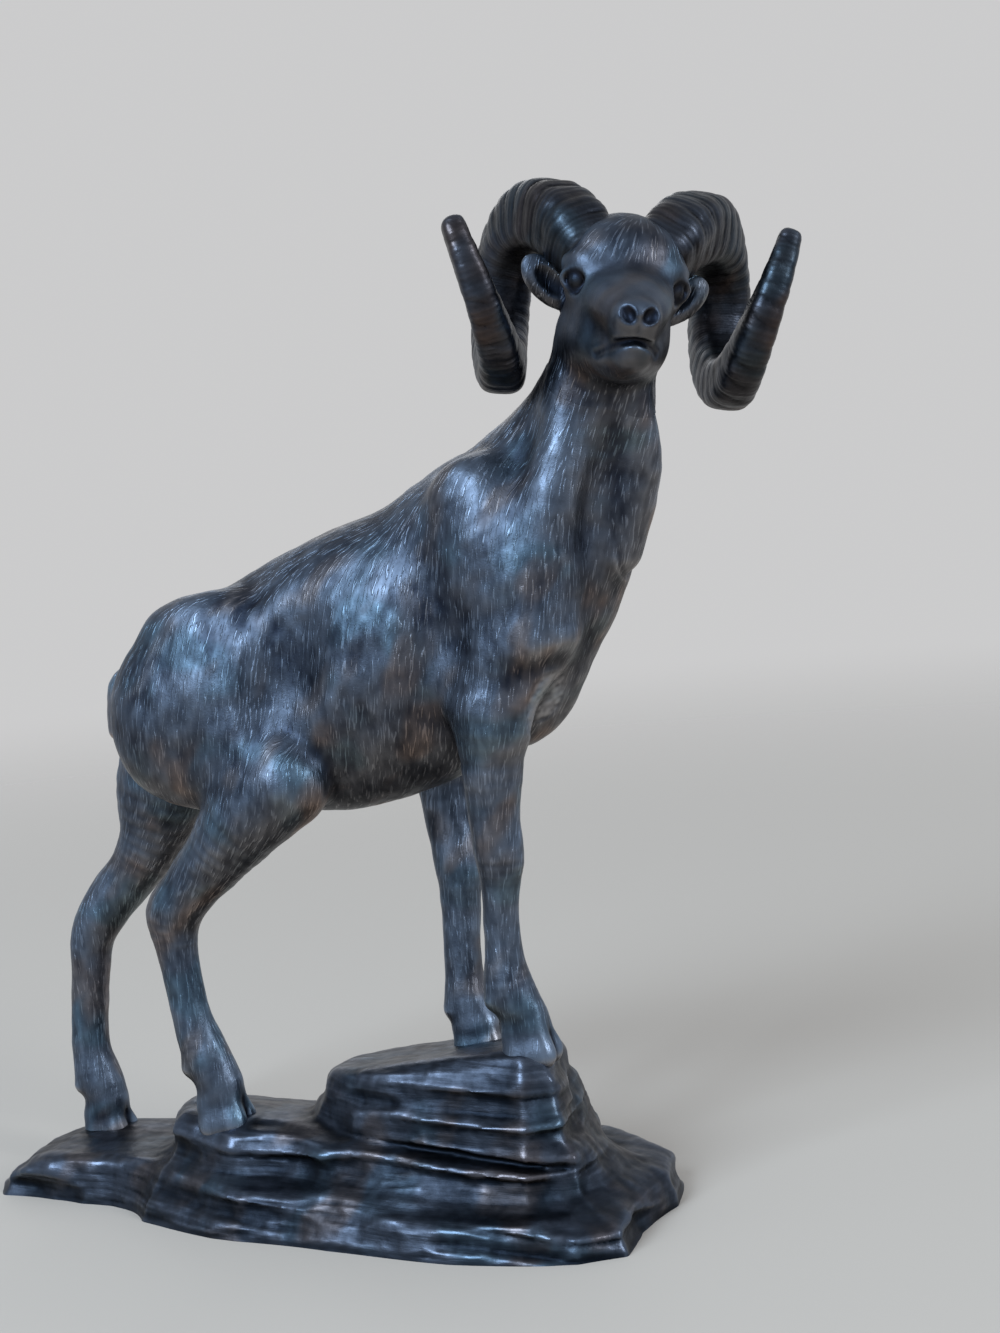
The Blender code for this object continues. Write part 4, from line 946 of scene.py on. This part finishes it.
def face_shade(points):
    """Near 1 in the eyes, the nostrils and the line of the mouth, and 0 elsewhere."""
    spots = [(mouth_point(share, 0.6), MOUTH_SHADE) for share in np.linspace(-1.2, 1.1, 24)]
    for sign in (-1, 1):
        spots.append(((sign * (EYE_SPACING / 2 + 0.3), 1.0, EYE_LIFTS[sign]), EYE_SHADE))
        spots.append(((sign * NOSTRIL_SPACING / 2, MUZZLE_LENGTH - 0.2, -0.3), NOSTRIL_SHADE))
    local = in_head(points)
    shade = np.zeros(len(points))
    for place, reach in spots:
        away = np.linalg.norm(local - np.array(place), axis=1)
        shade = np.maximum(shade, 1 - ease(away, *reach))
    return shade


def brisket(points):
    """Near 1 in the oval of stubble, and 0 outside it."""
    offset = (points - np.array(BRISKET_PLACE)) / BRISKET_RADII
    return 1 - ease((offset ** 2).sum(axis=1), 0.7, 1.1)


def dress_coat(points, quads, is_head=False):
    """Cut the coat into a smooth skin. Returns the points and the values that the metal reads."""
    normals = broad_normals(points, quads)
    lie = coat_lie(points, normals)
    tuft = strands(points, lie, TUFT_LENGTH, TUFT_WIDTH, 3)
    lock = strands(points, lie, LOCK_LENGTH, LOCK_WIDTH, 5)
    shown = coat_share(points)
    dents = noise(points / DENT_WIDTH, 8) + 0.5 * noise(points / (0.45 * DENT_WIDTH), 9)
    dents *= DENT_DEPTH * shown * (FACE_DENTS if is_head else 1)
    patch = brisket(points)
    depth = (head_depth(points) if is_head else TUFT_DEPTH * shown) * (1 - patch)
    relief = depth * (0.7 * tuft + 0.6 * lock)
    stubble = patch * noise(points / STUBBLE_WIDTH, 12)
    raised = relief + dents + STUBBLE_DEPTH * stubble - BRISKET_SINK * patch
    points = points + normals * raised[:, None]
    values = measure_wear_and_shade(points, quads, HEAD_WEAR_AND_SHADE_PASSES if is_head else COAT_WEAR_AND_SHADE_PASSES)
    if is_head:
        edge, form = values["edge"], values["form"]
        # The eyes, nostrils and mouth get painted shade through the edge value
        values["edge"] = np.where(edge > 0, FACE_EDGE * edge, edge) - SHADE_DEPTH * face_shade(points)
        values["form"] = np.where(form > 0, FACE_FORM * form, form)
    values["relief"] = relief / TUFT_DEPTH + BRISKET_WEAR * patch + STUBBLE_WEAR * stubble
    values["lie"] = lie
    values["combed"] = depth / TUFT_DEPTH
    return points, values


def dress_head(points, quads):
    """The coat of the head, with a smooth face."""
    return dress_coat(points, quads, True)


def dress_rock(points, quads):
    """Cut layers, lumps and pits into the rock. Returns the points and the values that the metal reads."""
    normals = broad_normals(points, quads)
    x, y, z = points.T
    level = z + LAYER_TILT * x + 0.5 * noise(points / 9, 21)
    layered = np.column_stack([x / STRATUM_LENGTH, y / STRATUM_LENGTH, level / STRATUM_WIDTH])
    broad = np.column_stack([x / 11, y / 11, level / 1.5])
    strata = 1 - 2 * np.abs(noise(layered, 22)) + 0.6 * noise(layered * (2.2, 2.2, 2.1), 23)
    steps = np.tanh(3 * noise(broad, 24))
    side = 1 - ease(np.abs(normals[:, 2]), 0.55, 0.9)
    pits = noise(points / PIT_WIDTH, 25) + 0.6 * noise(points / (0.5 * PIT_WIDTH), 26)
    grain = noise(np.column_stack([x / 4.5, y / 1.1, z / 1.1]), 27)
    lumps = noise(points / LUMP_WIDTH, 28) + 0.5 * noise(points / (0.4 * LUMP_WIDTH), 29)
    above_floor = ease(z, 0.1, 0.9)
    relief = STRATUM_DEPTH * side * (0.5 * strata + 0.8 * steps)
    relief += PIT_DEPTH * pits + TOP_GRAIN_DEPTH * (1 - side) * grain
    relief *= above_floor
    lumps *= LUMP_DEPTH * (0.3 + 0.7 * side) * above_floor
    points = points + normals * (relief + lumps)[:, None]
    values = measure_wear_and_shade(points, quads, WEAR_AND_SHADE_PASSES)
    values["relief"] = np.clip(relief / STRATUM_DEPTH, -1, 1)
    return points, values


def horn_track(sign, points):
    """For each point: its place along the horn, its angle round the horn, and the horn's length."""
    middles, outward, _, travelled = (np.array(column) for column in zip(*horn_rows(sign)))
    nearest = np.concatenate([((block[:, None] - middles) ** 2).sum(axis=2).argmin(axis=1)
                              for block in np.array_split(points, 4)])
    tangent = unit(np.gradient(middles, axis=0))[nearest]
    offset = points - middles[nearest]
    along = (offset * tangent).sum(axis=1)
    out = outward[nearest]
    side = np.cross(tangent, out)
    angle = np.arctan2((offset * side).sum(axis=1), (offset * out).sum(axis=1))
    return travelled[nearest] + along, angle, travelled[-1]


def dress_horn(sign, points, quads):
    """Notch and wrinkle one horn. Returns the points and the values that the metal reads."""
    arc, angle, whole = horn_track(sign, points)
    normals = broad_normals(points, quads, 3)
    fade = 1 - arc / whole
    shifted = arc + 0.35 * np.sin(2 * angle + 0.7) + 0.5 * noise(points / 4.0, 33)
    notch = np.abs(np.sin(math.pi * shifted / RIDGE_PITCH)) ** 0.4 - 0.8
    notch *= ease(noise(points / 3.2, 35), -0.5, 0.35)
    wrinkle = np.sin(2 * math.pi * (arc + 0.3 * noise(points / 2.5, 34)) / WRINKLE_PITCH)
    keel = 0.25 + 0.75 * ease(np.cos(angle), 0.1, 0.9)
    relief = NOTCH_DEPTH * (0.35 + 0.65 * fade) * keel * notch
    relief += WRINKLE_DEPTH * (0.3 + 0.7 * fade) * wrinkle + HORN_PIT_DEPTH * noise(points / 1.1, 31)
    points = points + normals * relief[:, None]
    values = measure_wear_and_shade(points, quads, WEAR_AND_SHADE_PASSES)
    values["relief"] = np.clip(relief / HORN_RELIEF, -1, 1)
    values["arc"] = arc
    return points, values


def add_object(name, data):
    """A new object in the scene."""
    item = bpy.data.objects.new(name, data)
    bpy.context.scene.collection.objects.link(item)
    return item


def aim(item, right, up, back, place):
    """Put a lamp or the camera at a place, with its own axes along three directions."""
    item.matrix_world = Matrix([[right[i], up[i], back[i], place[i]] for i in range(3)] + [[0, 0, 0, 1]])


def solid_mesh(name, points, quads, values, cuts):
    """A closed object with the values as attributes, cut by planes given as (place, direction)."""
    mesh = bpy.data.meshes.new(name)
    mesh.from_pydata((points * MM).tolist(), [], quads.tolist())
    for key, numbers in values.items():
        kind, field = ("FLOAT", "value") if numbers.ndim == 1 else ("FLOAT_VECTOR", "vector")
        attribute = mesh.attributes.new(key, kind, "POINT")
        attribute.data.foreach_set(field, np.ascontiguousarray(numbers, np.float32).ravel())
    if cuts:
        cut_mesh(mesh, cuts)
    mesh.shade_smooth()
    mesh.set_sharp_from_angle(angle=math.radians(CAP_ANGLE))
    return add_object(name, mesh)


def cut_mesh(mesh, cuts):
    """Remove what lies on the far side of each plane and close the hole with a flat cap."""
    shape = bmesh.new()
    shape.from_mesh(mesh)
    for place, direction in cuts:
        parts = shape.verts[:] + shape.edges[:] + shape.faces[:]
        cut = bmesh.ops.bisect_plane(shape, geom=parts, dist=1e-8, plane_co=[v * MM for v in place],
                                     plane_no=direction, clear_outer=True)
        rim = [item for item in cut["geom_cut"] if isinstance(item, bmesh.types.BMEdge)]
        caps = bmesh.ops.holes_fill(shape, edges=rim, sides=0)["faces"]
        bmesh.ops.triangulate(shape, faces=caps)
    bmesh.ops.recalc_face_normals(shape, faces=shape.faces[:])
    shape.to_mesh(mesh)
    shape.free()


class Paint:
    """Short calls for building one material's nodes."""

    def __init__(self, name):
        self.material = bpy.data.materials.new(name)
        self.material.use_nodes = True
        self.tree = self.material.node_tree
        self.shader = self.tree.nodes["Principled BSDF"]
        self.place = self.node("TexCoord", "Object")

    def set(self, socket, value):
        """Link an output to a socket, or give the socket a plain value."""
        if isinstance(value, bpy.types.NodeSocket):
            self.tree.links.new(value, socket)
        else:
            socket.default_value = value

    def node(self, kind, output, inputs=(), **settings):
        """One output of a new node, whose inputs are given by name or number."""
        node = self.tree.nodes.new("ShaderNode" + kind)
        for key, value in settings.items():
            setattr(node, key, value)
        for key, value in dict(inputs).items():
            self.set(node.inputs[key], value)
        return node.outputs[output]

    def finish(self, **inputs):
        """Give the shader its inputs, with _ for a space in their names, and return the material."""
        for key, value in inputs.items():
            self.set(self.shader.inputs[key.replace("_", " ")], value)
        return self.material

    def attribute(self, name, output="Fac"):
        """A value stored on the mesh, or with the output Vector a direction."""
        return self.node("Attribute", output, attribute_name=name)

    def math(self, operation, first, second=0.0, clamp=False):
        """One arithmetic step."""
        return self.node("Math", 0, {0: first, 1: second}, operation=operation, use_clamp=clamp)

    def ramp(self, value, low, high, out_low=0.0, out_high=1.0):
        """Move a value from one range to another, smoothly and held at the ends."""
        return self.node("MapRange", "Result", {"Value": value, "From Min": low, "From Max": high,
                                                "To Min": out_low, "To Max": out_high},
                         interpolation_type="SMOOTHSTEP")

    def mix(self, share, first, second, kind="MIX"):
        """Mix two colours; the node's colours are inputs 6 and 7 and output 2."""
        first, second = (value if isinstance(value, bpy.types.NodeSocket) else (*value, 1)
                         for value in (first, second))
        return self.node("Mix", 2, {0: share, 6: first, 7: second}, data_type="RGBA", blend_type=kind)

    def noise(self, size, turn=0.0, detail=2.0, rough=0.5):
        """Noise with bumps of one size, or of three along x, y and z, turned about Y by degrees."""
        scale = [value * MM for value in np.broadcast_to(size, 3)]
        turned = (0, math.radians(turn), 0)
        place = self.node("Mapping", "Vector", {"Vector": self.place, "Scale": scale, "Rotation": turned},
                          vector_type="TEXTURE")
        return self.node("TexNoise", "Fac",
                         {"Vector": place, "Scale": 1.0, "Detail": detail, "Roughness": rough})

    def hairs(self):
        """Noise averaged at steps along the lie of the coat, which draws it out into hairs."""
        lie = self.attribute("lie", "Vector")
        bumps = 1 / (HAIR_WIDTH * MM)
        total = 0.0
        weights = 0.0
        for share in np.linspace(-1, 1, HAIR_TAPS):
            weight = 1.15 + math.cos(share * math.pi)
            step = HAIR_STEP * HAIR_TAPS / 2 * share * MM
            place = self.node("VectorMath", 0, {0: lie, 1: (step, step, step), 2: self.place},
                              operation="MULTIPLY_ADD")
            sample = self.node("TexNoise", "Fac", {"Vector": place, "Scale": bumps, "Detail": 0.0})
            total = self.math("ADD", total, self.math("MULTIPLY", sample, weight))
            weights += weight
        return self.ramp(self.math("DIVIDE", total, weights), *HAIR_SPARSE)

    def up(self):
        """How far the surface faces up, from -1 to 1."""
        return self.node("SeparateXYZ", "Z", {0: self.node("NewGeometry", "Normal")})


def coat_height(paint):
    """Fine hairs along the lie of the coat, over a fine grain."""
    combed = paint.math("MULTIPLY", paint.hairs(), paint.attribute("combed"))
    grain = paint.noise(0.3, 0, 2, 0.6)
    return paint.math("ADD", combed, paint.math("MULTIPLY", grain, 0.5)), combed


def rock_height(paint):
    """Thin strata, long grain and small pits."""
    strata = paint.noise((6.0, 6.0, 0.3), 2, 3, 0.6)
    grain = paint.noise((0.4, 0.4, 0.3), 0, 4, 0.65)
    return paint.math("ADD", strata, paint.math("MULTIPLY", grain, 0.7)), strata


def horn_height(paint):
    """Fine wrinkles that run across the horn, and small pits."""
    turns = paint.math("MULTIPLY", paint.attribute("arc"), 2 * math.pi / FINE_WRINKLE_PITCH)
    wrinkle = paint.math("MULTIPLY", paint.math("SINE", turns), 0.35)
    patchy = paint.ramp(paint.noise(1.5, 0, 3, 0.6), 0.3, 0.7)
    grain = paint.noise(0.35, 0, 4, 0.65)
    return paint.math("ADD", paint.math("MULTIPLY", wrinkle, patchy), grain), grain


def aged_metal_and_painted_light(name, height, bump_depth, dark, bright, painted_reflection, painted_reflection_tilt, rough, grain_share):
    """Aged metal: dark with tarnish and painted shade where it lies low, rubbed bright and brightened by
    painted light where it stands out, with a painted brownish reflection where it faces down.

    height gives the bump and the grain from a Paint; the rest is one of the rows of metals above."""
    paint = Paint(name)
    bump, grain = height(paint)
    relief, edge, form = (paint.attribute(key) for key in ("relief", "edge", "form"))
    # Share of bright metal: grain, wear, and painted light on broad swells
    worn_and_painted_light = paint.ramp(grain, 0, 1, -0.04, grain_share)
    for value, wear_and_light_range in ((relief, RELIEF_WEAR), (relief, PROUD_WEAR), (edge, EDGE_WEAR),
                              (form, FORM_WEAR_AND_PAINTED_LIGHT), (paint.noise(6, 0, 3, 0.6), CLOUD_WEAR)):
        worn_and_painted_light = paint.math("ADD", worn_and_painted_light, paint.ramp(value, *wear_and_light_range))
    # Tarnish in fine recesses, and painted shade in broad hollows and in the eyes, nostrils and mouth
    tarnish_and_painted_shade = paint.math("MULTIPLY", paint.ramp(edge, *EDGE_TARNISH_AND_PAINTED_SHADE), paint.ramp(form, *FORM_PAINTED_SHADE))
    worn_and_painted_light = paint.math("MULTIPLY", worn_and_painted_light, tarnish_and_painted_shade, clamp=True)
    teal = tuple(np.multiply(bright, TEAL))
    brown = tuple(np.multiply(bright, BROWN))
    tint = paint.mix(paint.ramp(paint.noise((9, 9, 7), 0, 1), 0.5, 0.66, 0, 0.55), bright, teal)
    tint = paint.mix(paint.ramp(paint.noise((5, 5, 9), 40, 1), 0.52, 0.68, 0, 0.9), tint, brown)
    colour = paint.mix(worn_and_painted_light, dark, tint)
    speck = paint.ramp(paint.noise(0.4, 0, 3, 0.7), 0.62, 0.78, 0, 0.35)
    # Faces that look down get a painted brownish reflection; specks darken the metal at random
    for share, factor in ((paint.ramp(paint.up(), *painted_reflection_tilt), painted_reflection), (speck, SPECK)):
        colour = paint.mix(share, colour, paint.mix(1.0, colour, factor, "MULTIPLY"))
    mottle = paint.ramp(paint.noise(1.6, 0, 3, 0.6), 0.3, 0.7, -MOTTLE, MOTTLE)
    gloss = paint.math("ADD", paint.ramp(worn_and_painted_light, 0, 1, *rough), mottle)
    normal = paint.node("Bump", "Normal", {"Strength": 1.0, "Distance": bump_depth * MM, "Height": bump})
    return paint.finish(Base_Color=colour, Metallic=1.0, Roughness=gloss, Normal=normal)


def make_piece(name, makers, cell, box, cuts, dress, metal):
    """One closed piece: clay worked out in a box, dressed, cut by planes and given its metal."""
    clay = Clay(cell)
    for make in makers:
        make(clay)
    clay.fire(*box)
    close_edges(clay)
    points, quads = surface_net(clay)
    points, values = dress(relax(points, quads, RELAX_PASSES, RELAX), quads)
    body = solid_mesh(name, points, quads, values, cuts)
    body.data.materials.append(aged_metal_and_painted_light(*metal))
    return body


def close_edges(clay):
    """Fill the outermost samples with empty space, so that the surface closes flat at the grid's edge."""
    for axis in range(3):
        np.moveaxis(clay.value, axis, 0)[[0, -1]] = EDGE_SAMPLE
    clay.value[:, :, 0] = FAR


def make_ram():
    """Trunk and legs in two closed pieces, and the head with its neck in a third."""
    makers = (make_trunk, make_muscles, make_legs, make_head)
    head_back = tuple(-v for v in HEAD_CUT_LINE)
    middle = (TRUNK_CUT_X, 0, 0)
    rows = [("ram_hindquarters", TRUNK_CELL, HIND_BOX, [(middle, (1, 0, 0))], dress_coat),
            ("ram_forequarters", TRUNK_CELL, FORE_BOX,
             [(middle, (-1, 0, 0)), (HEAD_CUT_PLACE, HEAD_CUT_LINE)], dress_coat),
            ("ram_head", HEAD_CELL, HEAD_BOX, [(HEAD_CUT_PLACE, head_back)], dress_head)]
    return [make_piece(name, makers, cell, box, cuts, dress, (name + "_metal", coat_height, *COAT_METAL))
            for name, cell, box, cuts, dress in rows]


def make_horn(sign, name):
    """One horn as its own closed piece."""
    shape = horn(sign)
    return make_piece(name, [lambda clay: clay.add(shape)], HORN_CELL, box_round(shape, HORN_MARGIN), (),
                      lambda points, quads: dress_horn(sign, points, quads),
                      ("horn_metal", horn_height, *HORN_METAL))


def make_base(name):
    """The rock as its own closed piece, flat underneath."""
    return make_piece(name, [make_rock], ROCK_CELL, ROCK_BOX, [((0, 0, 0), (0, 0, -1))], dress_rock,
                      ("rock_metal", rock_height, *ROCK_METAL))


def make_stage():
    """A pale floor that fades into the pale surroundings far from the figurine."""
    turns = np.arange(FLOOR_SIDES) * 2 * math.pi / FLOOR_SIDES
    corners = [(FLOOR_RADIUS * math.cos(turn), FLOOR_RADIUS * math.sin(turn), 0) for turn in turns]
    mesh = bpy.data.meshes.new("floor")
    mesh.from_pydata(corners, [], [tuple(range(FLOOR_SIDES))])
    paint = Paint("pale_floor")
    distance = paint.node("VectorMath", "Value", {0: paint.place}, operation="LENGTH")
    mesh.materials.append(paint.finish(Base_Color=(*FLOOR_COLOUR, 1), Roughness=0.9, Specular_IOR_Level=0.1,
                                       Alpha=paint.ramp(distance, *FLOOR_FADE, 1, 0)))
    add_object("floor", mesh)


def make_lamp(name, place, size, power, colour):
    """A soft square lamp that looks at the figurine."""
    light = bpy.data.lights.new(name, "AREA")
    light.shape = "RECTANGLE"
    light.size, light.size_y = size
    light.energy = power
    light.color = colour
    back = unit(np.subtract(place, LAMP_TARGET))
    right = unit(np.cross(UP, back))
    aim(add_object(name, light), right, np.cross(back, right), back, place)


def make_light():
    """Even pale surroundings, with three soft lamps."""
    world = bpy.data.worlds.new("surroundings")
    bpy.context.scene.world = world
    world.use_nodes = True
    world.node_tree.nodes["Background"].inputs["Color"].default_value = (*WORLD_COLOUR, 1)
    for lamp in LAMPS:
        make_lamp(*lamp)


def make_camera():
    """The photograph's view of the figurine."""
    azimuth, elevation, roll = (math.radians(v) for v in CAMERA_ANGLES)
    back = np.array([math.sin(azimuth) * math.cos(elevation), -math.cos(azimuth) * math.cos(elevation),
                     math.sin(elevation)])
    level = np.array([math.cos(azimuth), math.sin(azimuth), 0.0])
    upright = np.cross(back, level)
    data = bpy.data.cameras.new("camera")
    data.sensor_width = CAMERA_SENSOR
    data.lens = CAMERA_LENS
    data.clip_start, data.clip_end = CAMERA_RANGE
    camera = add_object("camera", data)
    aim(camera, level * math.cos(roll) + upright * math.sin(roll),
        upright * math.cos(roll) - level * math.sin(roll), back,
        (np.array(CAMERA_TARGET) + CAMERA_DISTANCE * back) * MM)
    bpy.context.scene.camera = camera


make_camera()
make_stage()
make_light()
bpy.context.scene.view_settings.view_transform = "Standard"

pieces = make_ram()
for side, name in ((-1, "horn_right"), (1, "horn_left")):
    pieces.append(make_horn(side, name))
pieces.append(make_base("rock_base"))
for piece in pieces:
    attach(piece, "root")
    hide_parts("ram_figurine")
